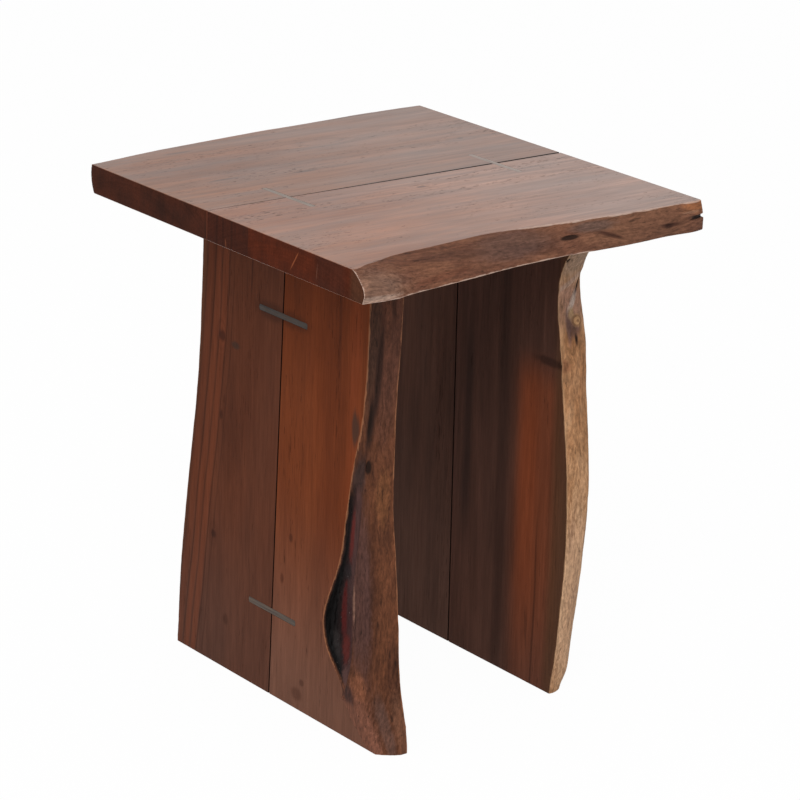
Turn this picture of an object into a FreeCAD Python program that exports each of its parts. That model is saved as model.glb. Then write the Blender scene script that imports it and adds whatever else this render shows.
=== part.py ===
"""Live edge side table: two slab boards side by side as the top, two more pairs as plank legs.

Millimetres. +X runs along the grain of the top, -Y is the front with the widest live edge, +Z is up.
The origin is on the floor, under the middle of the table's outline.
"""

import FreeCAD, Part
import os

import Sketcher

SIZES = {
    # overall
    "table_height": 500,
    "top_length": 418,
    "top_thickness": 28,
    "leg_thickness": 27,
    "left_overhang": 83,
    "right_overhang": 80,
    # open joints: the one of the top widens from its left end to its right end
    "top_gap_left": 0.3,
    "top_gap_right": 2.4,
    "leg_gap": 1.6,
    # reach of each board, from the joint line to the furthest point of its live edge
    "top_back_reach": 229,
    "top_front_reach": 243,
    "left_back_reach": 162,
    "left_front_reach": 188,
    "right_back_reach": 149,
    "right_front_reach": 177,
    # joint lines of the legs: offset from the joint of the top, measured on the floor, and how far
    # each leans over the leg's height
    "left_joint_offset": 7,
    "left_joint_lean": 16,
    "right_joint_offset": 16,
    "right_joint_lean": 5,
    # inlaid keys across the joints
    "key_length": 78,
    "key_width": 5.6,
    "key_depth": 6,
    "key_end_crown": 1,
    "key_fit": 0.1,
    "top_left_key_inset": 91,
    "top_left_key_tilt": 1.2,
    "top_right_key_inset": 82,
    "top_right_key_tilt": 0.8,
    "upper_key_height": 387,
    "lower_key_height": 87,
    # dowels across the joints, and from the legs into the top
    "dowel_diameter": 10,
    "dowel_chamfer": 1,
    "dowel_fit": 0.1,
    "dowel_end_gap": 0.5,
    "joint_dowel_length": 60,
    "top_dowel_inset": 38,
    "leg_dowel_low": 150,
    "leg_dowel_spacing": 88,
    "leg_dowel_depth": 24,
    "top_dowel_depth": 14,
    "leg_dowel_from_joint": 58,
    "leg_dowel_from_edge": 60,
    # drying crack in the front right corner of the top
    "end_crack_length": 20,
    "end_crack_rise": 12,
    "end_crack_height": 3.8,
    "end_crack_depth": 6.5,
    "end_crack_setback": 28.5,
    # bark hollow in the left leg
    "hollow_low": 38,
    "hollow_length": 246,
    "hollow_outside": 3,
}

# A cutter stands this far proud of the wood that it cuts.
CUT_MARGIN = 6

# Live edges, in even steps from just before the board to just past it: setback of the low and of the
# high face's arris from the board's full reach, and the crown of the edge between the two arrises.
TOP_BACK_EDGE = [
    (36, 32.5, 2.5),
    (29, 24.5, 3),
    (22.5, 17, 3),
    (18, 12, 3),
    (13, 7, 3),
    (10, 5, 2.5),
    (6, 1.5, 2.5),
    (4, -0.6, 2),
    (6, 1, 2),
]
TOP_FRONT_EDGE = [
    (34.5, 37, 1.5),
    (29, 34.5, 2),
    (27, 35.5, 2),
    (26.5, 37, 2.5),
    (28, 40.5, 2.5),
    (25.5, 45, 3),
    (21, 47, 3.5),
    (14, 42.5, 4),
    (8.5, 38.5, 4.5),
    (-0.6, 28, 5),
    (4, 21.5, 4),
]
LEFT_BACK_EDGE = [
    (6, 0.5, 2),
    (10, 4, 2.5),
    (16.5, 9.5, 3),
    (25, 17.5, 3),
    (33.5, 26.5, 3),
    (40.5, 34, 3),
    (44, 38, 2.5),
    (47, 40, 2.5),
    (48, 40, 2),
]
LEFT_FRONT_EDGE = [
    (11, 3, 3),
    (48, 4, 4),
    (64.5, 14.5, 5),
    (67.5, 18, 5),
    (68.5, 22, 5),
    (67.5, 27, 4.5),
    (65.5, 32, 4),
    (58, 32, 3.5),
    (48, 32, 3),
    (43, 30, 2.5),
    (41, 27, 2.5),
    (41, 25.5, 2.5),
    (41.5, 25.5, 2.5),
]
RIGHT_BACK_EDGE = [
    (0.5, 7, 2),
    (4, 11, 2.5),
    (8.5, 16, 3),
    (14, 22, 3),
    (20, 27, 3),
    (26, 33, 3),
    (31, 37, 2.5),
    (33, 39, 2.5),
    (32, 38, 2),
]
RIGHT_FRONT_EDGE = [
    (16, 29, 3.5),
    (10.5, 20, 4),
    (6, 14.5, 4),
    (2.5, 9, 4),
    (0.5, 5, 4),
    (1.5, 2, 4),
    (4.5, 3, 4),
    (10, 7.5, 4),
    (16, 12.5, 4),
    (22, 16, 4),
    (28, 26, 3.5),
    (19.5, 23, 3.5),
    (20, 36, 3.5),
]

# Bark hollow in the front board of the left leg, in even steps up the leg: distance of its middle
# from the board's full reach, and its radius. The middle lies a little outside the outer face.
BARK_HOLLOW = [
    (66.5, 4.5),
    (73.5, 15.8),
    (79, 22),
    (73.5, 16),
    (65, 11),
    (59.5, 10.5),
    (53.5, 9),
    (50.5, 4.5),
]

# Expressions for the places that several pieces share
LEG_HEIGHT = "(sizes.table_height - sizes.top_thickness)"
LEG_HALF_GAP = "(sizes.leg_gap / 2)"
TOP_JOINT = "((sizes.top_front_reach - sizes.top_back_reach) / 2)"

# Half of the top's joint at the end where each board's own frame begins, and its growth over the top
TOP_HALF_GAP = {"back": "(sizes.top_gap_left / 2)", "front": "(sizes.top_gap_right / 2)"}
TOP_OPENING = "((sizes.top_gap_right - sizes.top_gap_left) / 2)"

# Turns from a board's own frame (X along the grain, Y from the joint to the live edge, Z through
# the thickness) to its place in the table
LYING_BACK = FreeCAD.Rotation()
LYING_FRONT = FreeCAD.Rotation(FreeCAD.Vector(0, 0, 1), 180)
STANDING_BACK = FreeCAD.Rotation(FreeCAD.Vector(0, 1, 0), -90)
STANDING_FRONT = FreeCAD.Rotation(FreeCAD.Vector(1, 0, 1), 180)
FACING_RIGHT = FreeCAD.Rotation(FreeCAD.Vector(0, 1, 0), 90)
ALONG_Y = FreeCAD.Rotation(FreeCAD.Vector(1, 0, 0), -90)

doc = FreeCAD.newDocument("live_edge_side_table")
sheet = doc.addObject("Spreadsheet::Sheet", "sizes")
for row, (alias, value) in enumerate(SIZES.items(), start=1):
    sheet.set(f"A{row}", alias)
    sheet.set(f"B{row}", str(value))
    sheet.setAlias(f"B{row}", alias)
doc.recompute()

bodies = []


def number(expression):
    """Value of an expression on the sheet."""
    return float(sheet.evalExpression(str(expression)))


def new_body(label):
    body = doc.addObject("PartDesign::Body", label)
    body.Label = label
    bodies.append(body)
    return body


def place(body, turn, x, y, z):
    """Puts a finished piece at its place in the table."""
    spot = FreeCAD.Vector(number(x), number(y), number(z))
    body.Placement = FreeCAD.Placement(spot, turn)
    for axis, expression in zip("xyz", (x, y, z)):
        body.setExpression(f"Placement.Base.{axis}", expression)


def new_sketch(body, name, plane, offset=("0", "0", "0"), tilt="0"):
    """Sketch on one of the body's own planes, moved and turned within it."""
    sketch = body.newObject("Sketcher::SketchObject", name)
    support = next(f for f in body.Origin.OriginFeatures if f.Role == plane)
    sketch.AttachmentSupport = (support, "")
    sketch.MapMode = "FlatFace"
    spot = FreeCAD.Vector(*(number(value) for value in offset))
    turn = FreeCAD.Rotation(FreeCAD.Vector(0, 0, 1), number(tilt))
    sketch.AttachmentOffset = FreeCAD.Placement(spot, turn)
    for axis, expression in zip("xyz", offset):
        sketch.setExpression(f"AttachmentOffset.Base.{axis}", expression)
    if tilt != "0":
        sketch.setExpression("AttachmentOffset.Rotation.Angle", tilt)
    return sketch


def bind(sketch, constraint, name, expression):
    """Adds a named dimension and ties it to the sheet."""
    index = sketch.addConstraint(constraint)
    sketch.renameConstraint(index, name)
    sketch.setExpression(f"Constraints.{name}", expression)


def crowned_edge(start, end, crown):
    """Arc between two points that stands out to the right by the crown's height."""
    chord = end - start
    right = FreeCAD.Vector(chord.y, -chord.x, 0).normalize()
    radius = chord.Length ** 2 / (8 * crown) + crown / 2
    top = (start + end) * 0.5 + right * crown
    circle = Part.Circle(top - right * radius, FreeCAD.Vector(0, 0, 1), radius)
    return Part.ArcOfCircle(circle, circle.parameter(start), circle.parameter(end))


def draw_outline(sketch, corners):
    """Closed outline: each corner is (x, y, crown of the edge to the next corner, or None)."""
    points = [FreeCAD.Vector(number(x), number(y), 0) for x, y, crown in corners]
    count = len(corners)
    for i, (x, y, crown) in enumerate(corners):
        start, end = points[i], points[(i + 1) % count]
        if crown is None:
            sketch.addGeometry(Part.LineSegment(start, end))
        else:
            sketch.addGeometry(crowned_edge(start, end, number(crown)))
    for i, (x, y, crown) in enumerate(corners):
        sketch.addConstraint(Sketcher.Constraint("Coincident", i, 2, (i + 1) % count, 1))
        bind(sketch, Sketcher.Constraint("DistanceX", i, 1, points[i].x), f"corner_x{i}", x)
        bind(sketch, Sketcher.Constraint("DistanceY", i, 1, points[i].y), f"corner_y{i}", y)
    for i, (x, y, crown) in enumerate(corners):
        if crown is not None:
            x_end, y_end, _ = corners[(i + 1) % count]
            chord_squared = f"(({x_end}) - ({x}))^2 + (({y_end}) - ({y}))^2"
            radius = f"({chord_squared}) / (8 * ({crown})) + ({crown}) / 2"
            bind(sketch, Sketcher.Constraint("Radius", i, number(radius)), f"crown_{i}", radius)


def draw_circle(sketch, radius, x="0", y="0"):
    middle = FreeCAD.Vector(number(x), number(y), 0)
    sketch.addGeometry(Part.Circle(middle, FreeCAD.Vector(0, 0, 1), number(radius)))
    bind(sketch, Sketcher.Constraint("DistanceX", 0, 3, middle.x), "middle_x", x)
    bind(sketch, Sketcher.Constraint("DistanceY", 0, 3, middle.y), "middle_y", y)
    bind(sketch, Sketcher.Constraint("Radius", 0, number(radius)), "radius", radius)


def pad(body, sketch, length):
    feature = body.newObject("PartDesign::Pad", "stock")
    feature.Profile = sketch
    feature.setExpression("Length", length)
    doc.recompute()
    return feature


def pocket(body, sketch, depth, towards_normal=False):
    """Cuts a sketch into the body and makes sure that wood came away."""
    before = body.Shape.Volume
    feature = body.newObject("PartDesign::Pocket", f"cut_{sketch.Name}")
    feature.Profile = sketch
    feature.Reversed = towards_normal
    feature.setExpression("Length", depth)
    doc.recompute()
    if body.Shape.Volume >= before:
        raise RuntimeError(f"{body.Label}: {sketch.Name} cuts nothing")


def carve(body, name, sections):
    """Cuts away what lies within a smooth run of sections."""
    before = body.Shape.Volume
    feature = body.newObject("PartDesign::SubtractiveLoft", name)
    feature.Profile = sections[0]
    feature.Sections = sections[1:]
    doc.recompute()
    if body.Shape.Volume >= before:
        raise RuntimeError(f"{body.Label}: {name} cuts nothing")


def live_edge(body, length, width, thickness, edge):
    """Takes the waste off a board along its natural edge."""
    sections = []
    last = len(edge) - 1
    for i, (low, high, crown) in enumerate(edge):
        station = f"({length} + 2 * {CUT_MARGIN}) * {i} / {last} - {CUT_MARGIN}"
        sketch = new_sketch(body, f"edge_{i}", "YZ_Plane", ("0", "0", station))
        over, under = f"{thickness} + {CUT_MARGIN}", f"-{CUT_MARGIN}"
        outside = f"{width} + {CUT_MARGIN}"
        draw_outline(sketch, [
            (f"{width} - ({low})", under, None),
            (f"{width} - ({low})", "0", str(crown)),
            (f"{width} - ({high})", thickness, None),
            (f"{width} - ({high})", over, None),
            (outside, over, None),
            (outside, under, None),
        ])
        sections.append(sketch)
    carve(body, "waste", sections)


def board(label, length, reach, half_gap, thickness, lean, edge):
    """Board with one sawn edge at the joint and one live edge.

    The sawn edge starts half a gap from the middle of the joint, and leans away from the live edge
    by lean over the board's length.
    """
    body = new_body(label)
    width = f"({reach} - {half_gap})"
    outline = new_sketch(body, "outline", "XY_Plane")
    draw_outline(outline, [
        ("0", "0", None),
        (length, f"-({lean})", None),
        (length, width, None),
        ("0", width, None),
    ])
    pad(body, outline, thickness)
    live_edge(body, length, width, thickness, edge)
    return body


def draw_key(sketch, fit="0"):
    half_width = f"(sizes.key_width / 2 + {fit})"
    half_length = f"(sizes.key_length / 2 - sizes.key_end_crown + {fit})"
    draw_outline(sketch, [
        (f"-{half_width}", f"-{half_length}", "sizes.key_end_crown"),
        (half_width, f"-{half_length}", None),
        (half_width, half_length, "sizes.key_end_crown"),
        (f"-{half_width}", half_length, None),
    ])


def key_slot(body, name, along, across, face=None, tilt="0"):
    """Slot for a key, in the high face given by its height or else in the low face."""
    sketch = new_sketch(body, name, "XY_Plane", (along, across, face or "0"), tilt)
    draw_key(sketch, "sizes.key_fit")
    pocket(body, sketch, "sizes.key_depth", towards_normal=face is None)


def dowel_hole(body, name, plane, offset, depth, towards_normal=False):
    sketch = new_sketch(body, name, plane, offset)
    draw_circle(sketch, "sizes.dowel_diameter / 2 + sizes.dowel_fit")
    pocket(body, sketch, f"{depth} + sizes.dowel_end_gap", towards_normal)


def joint_hole(body, name, along, joint, half_gap, thickness):
    """Dowel hole in a board's sawn edge, measured from the middle of the joint."""
    offset = (along, f"{thickness} / 2", f"-({joint} - {half_gap})")
    dowel_hole(body, name, "XZ_Plane", offset, "sizes.joint_dowel_length / 2")


def key(label, turn, x, y, z):
    body = new_body(label)
    sketch = new_sketch(body, "outline", "XY_Plane")
    draw_key(sketch)
    pad(body, sketch, "sizes.key_depth")
    place(body, turn, x, y, z)
    return body


def dowel(label, length, turn, x, y, z):
    body = new_body(label)
    sketch = new_sketch(body, "outline", "XY_Plane")
    draw_circle(sketch, "sizes.dowel_diameter / 2")
    stock = pad(body, sketch, length)
    rims = [f"Edge{i}" for i, rim in enumerate(stock.Shape.Edges, 1) if isinstance(rim.Curve, Part.Circle)]
    bevel = body.newObject("PartDesign::Chamfer", "bevel")
    bevel.Base = (stock, rims)
    bevel.setExpression("Size", "sizes.dowel_chamfer")
    place(body, turn, x, y, z)


def end_crack(body):
    """Thin drying crack, deep at the board's end, that runs out along the live edge."""
    width = f"(sizes.top_front_reach - {TOP_HALF_GAP['front']})"
    edge_line = f"({width} - sizes.end_crack_setback)"
    start_depth = f"sizes.end_crack_depth * (1 + {CUT_MARGIN} / sizes.end_crack_length)"
    outside = f"{width} + {CUT_MARGIN}"
    sketch = new_sketch(body, "crack", "XY_Plane", ("0", "0", "sizes.end_crack_rise"))
    draw_outline(sketch, [
        (f"-{CUT_MARGIN}", f"{edge_line} - {start_depth}", None),
        ("2 * sizes.end_crack_length", f"{edge_line} + sizes.end_crack_depth", None),
        ("2 * sizes.end_crack_length", outside, None),
        (f"-{CUT_MARGIN}", outside, None),
    ])
    pocket(body, sketch, "sizes.end_crack_height", towards_normal=True)


def bark_hollow(body, width):
    """Long hollow where bark grew in, open to the outer face and the live edge."""
    sections = []
    last = len(BARK_HOLLOW) - 1
    for i, (setback, radius) in enumerate(BARK_HOLLOW):
        height = f"sizes.hollow_low + sizes.hollow_length * {i} / {last}"
        sketch = new_sketch(body, f"hollow_{i}", "YZ_Plane", ("0", "0", height))
        draw_circle(sketch, str(radius), f"{width} - {setback}", "-sizes.hollow_outside")
        sections.append(sketch)
    carve(body, "bark_hollow", sections)


def make_top():
    """Two boards of the top, held by two keys and three dowels."""
    half_back, half_front = TOP_HALF_GAP["back"], TOP_HALF_GAP["front"]
    back = board("top_back_board", "sizes.top_length", "sizes.top_back_reach", half_back,
                 "sizes.top_thickness", f"-1 * {TOP_OPENING}", TOP_BACK_EDGE)
    front = board("top_front_board", "sizes.top_length", "sizes.top_front_reach", half_front,
                  "sizes.top_thickness", TOP_OPENING, TOP_FRONT_EDGE)
    end_crack(front)
    underside = "sizes.table_height - sizes.top_thickness"
    place(back, LYING_BACK, "-sizes.top_length / 2", f"{TOP_JOINT} + {half_back}", underside)
    place(front, LYING_FRONT, "sizes.top_length / 2", f"{TOP_JOINT} - {half_front}", underside)

    # Places along the top, from its left end
    key_places = {
        "left": "sizes.top_left_key_inset",
        "right": "(sizes.top_length - sizes.top_right_key_inset)",
    }
    for side, along in key_places.items():
        tilt = f"sizes.top_{side}_key_tilt"
        key_slot(back, f"{side}_key", along, f"-{half_back}", "sizes.top_thickness", tilt)
        key_slot(front, f"{side}_key", f"sizes.top_length - {along}", f"-{half_front}",
                 "sizes.top_thickness", tilt)
        inlay = key(f"top_{side}_key", LYING_BACK, f"{along} - sizes.top_length / 2", TOP_JOINT,
                    "sizes.table_height - sizes.key_depth")
        inlay.Placement.Rotation = FreeCAD.Rotation(FreeCAD.Vector(0, 0, 1), number(tilt))
        inlay.setExpression("Placement.Rotation.Angle", tilt)

    dowel_places = {
        "left": "sizes.top_dowel_inset",
        "middle": "(sizes.top_length / 2)",
        "right": "(sizes.top_length - sizes.top_dowel_inset)",
    }
    for side, along in dowel_places.items():
        joint_hole(back, f"{side}_dowel", along, "0", half_back, "sizes.top_thickness")
        joint_hole(front, f"{side}_dowel", f"sizes.top_length - {along}", "0", half_front,
                   "sizes.top_thickness")
        dowel(f"top_{side}_joint_dowel", "sizes.joint_dowel_length", ALONG_Y,
              f"{along} - sizes.top_length / 2", f"{TOP_JOINT} - sizes.joint_dowel_length / 2",
              "sizes.table_height - sizes.top_thickness / 2")
    return back, front


def leg_joint(side):
    """Place of a leg's joint line on the floor."""
    return f"({TOP_JOINT} + sizes.{side}_joint_offset)"


def make_leg(side, back_edge, front_edge, lean_sign):
    """Two boards of one leg with their keys and dowels; lean_sign is the joint's lean along +Y."""
    thickness = "sizes.leg_thickness"
    outer_face = f"(sizes.top_length / 2 - sizes.{side}_overhang)"
    foot = leg_joint(side)
    lean = f"({lean_sign} * sizes.{side}_joint_lean)"
    back = board(f"{side}_leg_back_board", LEG_HEIGHT, f"sizes.{side}_back_reach", LEG_HALF_GAP,
                 thickness, f"-1 * {lean}", back_edge)
    front = board(f"{side}_leg_front_board", LEG_HEIGHT, f"sizes.{side}_front_reach", LEG_HALF_GAP,
                  thickness, lean, front_edge)
    # The low face of a back board looks to the right, that of a front board to the left.
    if side == "left":
        bark_hollow(front, f"(sizes.left_front_reach - {LEG_HALF_GAP})")
        low_of_back, low_of_front = f"{thickness} - {outer_face}", f"-{outer_face}"
        back_face, front_face = thickness, None
        key_turn, key_x = STANDING_BACK, f"sizes.key_depth - {outer_face}"
    else:
        low_of_back, low_of_front = outer_face, f"{outer_face} - {thickness}"
        back_face, front_face = None, thickness
        key_turn, key_x = FACING_RIGHT, f"{outer_face} - sizes.key_depth"
    place(back, STANDING_BACK, low_of_back, f"{foot} + {LEG_HALF_GAP}", "0")
    place(front, STANDING_FRONT, low_of_front, f"{foot} - {LEG_HALF_GAP}", "0")

    for level in ("upper", "lower"):
        height = f"sizes.{level}_key_height"
        drift = f"({lean} * {height} / {LEG_HEIGHT})"
        key_slot(back, f"{level}_key", height, f"{drift} - {LEG_HALF_GAP}", back_face)
        key_slot(front, f"{level}_key", height, f"-1 * {drift} - {LEG_HALF_GAP}", front_face)
        key(f"{side}_leg_{level}_key", key_turn, key_x, f"{foot} + {drift}", height)

    middle_x = f"{outer_face} - {thickness} / 2"
    leg_x = f"-({middle_x})" if side == "left" else middle_x
    for i, level in enumerate(("low", "middle", "high")):
        height = f"(sizes.leg_dowel_low + {i} * sizes.leg_dowel_spacing)"
        drift = f"({lean} * {height} / {LEG_HEIGHT})"
        joint_hole(back, f"{level}_dowel", height, drift, LEG_HALF_GAP, thickness)
        joint_hole(front, f"{level}_dowel", height, f"-1 * {drift}", LEG_HALF_GAP, thickness)
        dowel(f"{side}_leg_{level}_joint_dowel", "sizes.joint_dowel_length", ALONG_Y, leg_x,
              f"{foot} + {drift} - sizes.joint_dowel_length / 2", height)
    return back, front, leg_x


def hang_leg(side, leg_boards, top_boards, leg_x):
    """Two dowels from the head of each leg board into the board of the top above it."""
    foot = leg_joint(side)
    for row, leg_board, top_board, sign in zip(("back", "front"), leg_boards, top_boards, (1, -1)):
        reach = f"sizes.{side}_{row}_reach"
        steps = {
            "inner": "sizes.leg_dowel_from_joint",
            "outer": f"({reach} - sizes.leg_dowel_from_edge)",
        }
        for spot, step in steps.items():
            name = f"{spot}_head_dowel"
            in_leg = (f"{step} - {LEG_HALF_GAP}", "sizes.leg_thickness / 2", LEG_HEIGHT)
            dowel_hole(leg_board, name, "YZ_Plane", in_leg, "sizes.leg_dowel_depth")
            y = f"{foot} + {sign} * {step}"
            in_top = (f"sizes.top_length / 2 + {sign} * ({leg_x})",
                      f"{sign} * ({y} - {TOP_JOINT}) - {TOP_HALF_GAP[row]}", "0")
            dowel_hole(top_board, f"{side}_{name}", "XY_Plane", in_top, "sizes.top_dowel_depth",
                       towards_normal=True)
            dowel(f"{side}_leg_{row}_{name}", "sizes.leg_dowel_depth + sizes.top_dowel_depth",
                  LYING_BACK, leg_x, y, f"{LEG_HEIGHT} - sizes.leg_dowel_depth")


top_boards = make_top()
for side, back_edge, front_edge, lean_sign in (
    ("left", LEFT_BACK_EDGE, LEFT_FRONT_EDGE, -1),
    ("right", RIGHT_BACK_EDGE, RIGHT_FRONT_EDGE, 1),
):
    *leg_boards, leg_x = make_leg(side, back_edge, front_edge, lean_sign)
    hang_leg(side, leg_boards, top_boards, leg_x)
doc.recompute()

for thing in doc.Objects:
    if "Invalid" in thing.State or "Error" in thing.State:
        raise RuntimeError(f"{thing.Label} failed: {thing.State}")
for body in bodies:
    if body.Shape.isNull() or not body.Shape.isValid() or len(body.Shape.Solids) != 1:
        raise RuntimeError(f"{body.Label} is not one sound solid")

os.makedirs("parts", exist_ok=True)
for body in bodies:
    body.Shape.exportStep(f"parts/{body.Label}.step")
    print(f"{body.Label}: {body.Shape.Volume / 1000:.1f} cubic centimetres")
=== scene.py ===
# %% [markdown]
# # Live edge side table
# The table is made of six planks of a red-brown wood: two lie side by side as the top, and two stand side
# by side as each leg. The outer edge of every plank keeps the wavy skin of the trunk, the joint between two
# planks stays open, and short grey-brown bars are let in across it. The solids of the table come from the
# frame. This script dresses them: it gives each plank its rough live edge, its grain and its knots, then
# sets light and camera.

# %% Load the frame
import math

import bmesh
import bpy
import numpy as np
from mathutils import Matrix, Vector


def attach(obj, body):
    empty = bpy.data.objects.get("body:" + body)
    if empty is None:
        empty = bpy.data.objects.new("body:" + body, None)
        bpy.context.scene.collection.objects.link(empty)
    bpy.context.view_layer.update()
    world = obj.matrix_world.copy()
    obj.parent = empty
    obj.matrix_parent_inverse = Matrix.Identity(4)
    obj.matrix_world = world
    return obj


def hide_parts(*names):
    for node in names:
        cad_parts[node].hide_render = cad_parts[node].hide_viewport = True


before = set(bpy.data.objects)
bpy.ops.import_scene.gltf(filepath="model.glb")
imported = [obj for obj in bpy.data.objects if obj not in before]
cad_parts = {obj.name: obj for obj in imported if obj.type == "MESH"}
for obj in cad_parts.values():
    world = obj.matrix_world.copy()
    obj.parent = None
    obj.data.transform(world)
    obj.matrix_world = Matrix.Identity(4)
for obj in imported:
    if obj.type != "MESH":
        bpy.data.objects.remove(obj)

MM = 0.001
scene = bpy.context.scene
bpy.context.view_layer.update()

# %% [markdown]
# ## Small helpers for node trees
# Materials and Geometry Nodes are both graphs, and the same few nodes come up again and again: a sum, a
# noise, a soft step, a mix of two colours. Wiring each by hand would bury the idea under sockets, so these
# helpers add one node, fill in its inputs and hand back its output.

# %% One node, its inputs and its output
def add(tree, kind, inputs=None, **settings):
    """Adds a node. An input that is a socket is linked, anything else is set as its value."""
    node = tree.nodes.new(kind)
    for name, value in settings.items():
        setattr(node, name, value)
    for key, value in (inputs or {}).items():
        if isinstance(value, bpy.types.NodeSocket):
            tree.links.new(value, node.inputs[key])
        else:
            node.inputs[key].default_value = value
    return node


def calc(tree, operation, *values):
    """A number worked out from numbers."""
    return add(tree, "ShaderNodeMath", dict(enumerate(values)), operation=operation).outputs[0]


def vector(tree, operation, *values):
    """A vector worked out from vectors, part by part."""
    return add(tree, "ShaderNodeVectorMath", dict(enumerate(values)), operation=operation).outputs["Vector"]


def soft_step(tree, value, low, high, first=0.0, last=1.0):
    """Goes from first to last as value goes from low to high, and stays there."""
    inputs = {"Value": value, "From Min": low, "From Max": high, "To Min": first, "To Max": last}
    return add(tree, "ShaderNodeMapRange", inputs, interpolation_type="SMOOTHSTEP").outputs["Result"]


# %% Noise in space
def noise(tree, place, detail=2.0, roughness=0.5):
    """Noise in space, from 0 to 1, about one blot for each unit of place."""
    inputs = {"Vector": place, "Scale": 1.0, "Detail": detail, "Roughness": roughness}
    return add(tree, "ShaderNodeTexNoise", inputs).outputs[0]


def counted_noise(tree, place, counts, detail=2.0, roughness=0.5):
    """Noise with so many blots for each metre along X, Y and Z."""
    return noise(tree, vector(tree, "MULTIPLY", place, counts), detail, roughness)


# %% Colours and mixes
NOISE_RANGE = (0.28, 0.72)


def tone(red, green, blue):
    """A colour as it shows on a screen, 0 to 255, turned into the linear colour that a shader reads."""
    def linear(part):
        part /= 255
        return part / 12.92 if part <= 0.04045 else ((part + 0.055) / 1.055) ** 2.4
    return (linear(red), linear(green), linear(blue), 1.0)


def mix(tree, factor, first, second, blend="MIX"):
    """Two colours mixed by a factor."""
    node = add(tree, "ShaderNodeMix", {0: factor, 6: first, 7: second}, data_type="RGBA", blend_type=blend)
    return node.outputs[2]


def shade(tree, colour, value, darkest, lightest):
    """Darkens and lightens a colour by a noise."""
    return mix(tree, 1.0, colour, soft_step(tree, value, *NOISE_RANGE, darkest, lightest), "MULTIPLY")


def colour_ramp(tree, value, stops):
    """Colours along a number: stops are (place, colour)."""
    node = add(tree, "ShaderNodeValToRGB", {0: value})
    points = node.color_ramp.elements
    while len(points) < len(stops):
        points.new(0.5)
    for point, (place, colour) in zip(points, stops):
        point.position = place
        point.color = colour
    return node.outputs[0]


def new_material(name):
    """A material with its tree and its shader."""
    material = bpy.data.materials.new(name)
    material.use_nodes = True
    return material, material.node_tree, material.node_tree.nodes["Principled BSDF"]


def set_bump(tree, shader, height, distance, strength):
    """Fine relief, too small for the mesh."""
    bump = add(tree, "ShaderNodeBump", {"Strength": strength, "Distance": distance, "Height": height})
    tree.links.new(bump.outputs[0], shader.inputs["Normal"])


# %% [markdown]
# ## The grain of a plank
# Wood is a stack of thin cones around the middle of the trunk, the pith. A plank cuts through them, so its
# figure is a solid pattern, the same on every face that cuts it. An image would have to be wrapped round
# each plank and would not meet at the corners. A pattern in space does: the distance from the pith, bent by
# slow waves, draws the growth lines, and a knot pushes that distance up so that the lines close into rings
# round it.

# %% Directions in a plank
SEED_SHIFT = (1.0, 1.7, 0.6)


def grain_noise(tree, place, kind, seed):
    """Noise of a kind: blots for each metre along and across the grain, detail and roughness."""
    along, across, detail, roughness = kind
    scaled = vector(tree, "MULTIPLY", place, (along, across, across))
    shifted = vector(tree, "ADD", scaled, tuple(seed * share for share in SEED_SHIFT))
    return noise(tree, shifted, detail, roughness)


def grain_space(tree, standing):
    """Object coordinates turned so that X runs along the grain, Y across the plank and Z through it."""
    place = add(tree, "ShaderNodeTexCoord").outputs["Object"]
    if standing:
        part = add(tree, "ShaderNodeSeparateXYZ", {0: place}).outputs
        place = add(tree, "ShaderNodeCombineXYZ", {0: part["Z"], 1: part["Y"], 2: part["X"]}).outputs[0]
    return place, add(tree, "ShaderNodeSeparateXYZ", {0: place}).outputs


def hill(tree, first, second, centre, radii, lean=0.0):
    """A soft hill over two directions, 1 at its centre. Lean turns its long way, in degrees."""
    away = [calc(tree, "SUBTRACT", value, middle) for value, middle in zip((first, second), centre)]
    if lean:
        cosine, sine = math.cos(math.radians(lean)), math.sin(math.radians(lean))
        away = [calc(tree, "MULTIPLY_ADD", away[0], cosine, calc(tree, "MULTIPLY", away[1], sine)),
                calc(tree, "MULTIPLY_ADD", away[1], cosine, calc(tree, "MULTIPLY", away[0], -sine))]
    squares = 0.0
    for distance, radius in zip(away, radii):
        share = calc(tree, "DIVIDE", distance, radius)
        squares = calc(tree, "MULTIPLY_ADD", share, share, squares)
    return calc(tree, "POWER", math.e, calc(tree, "MULTIPLY", squares, -1.0))


# %% Growth lines round the pith and round knots
SLOW_WAVE = 0.014
SLOW_WAVE_NOISE = (3.2, 9.0, 2.0, 0.5)
QUICK_WAVE = 0.0026
QUICK_WAVE_NOISE = (13.0, 55.0, 2.0, 0.5)
FLARE_BEND = 0.08
GROWTH_DETAIL = 3.0
GROWTH_ROUGHNESS = 0.58


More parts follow.
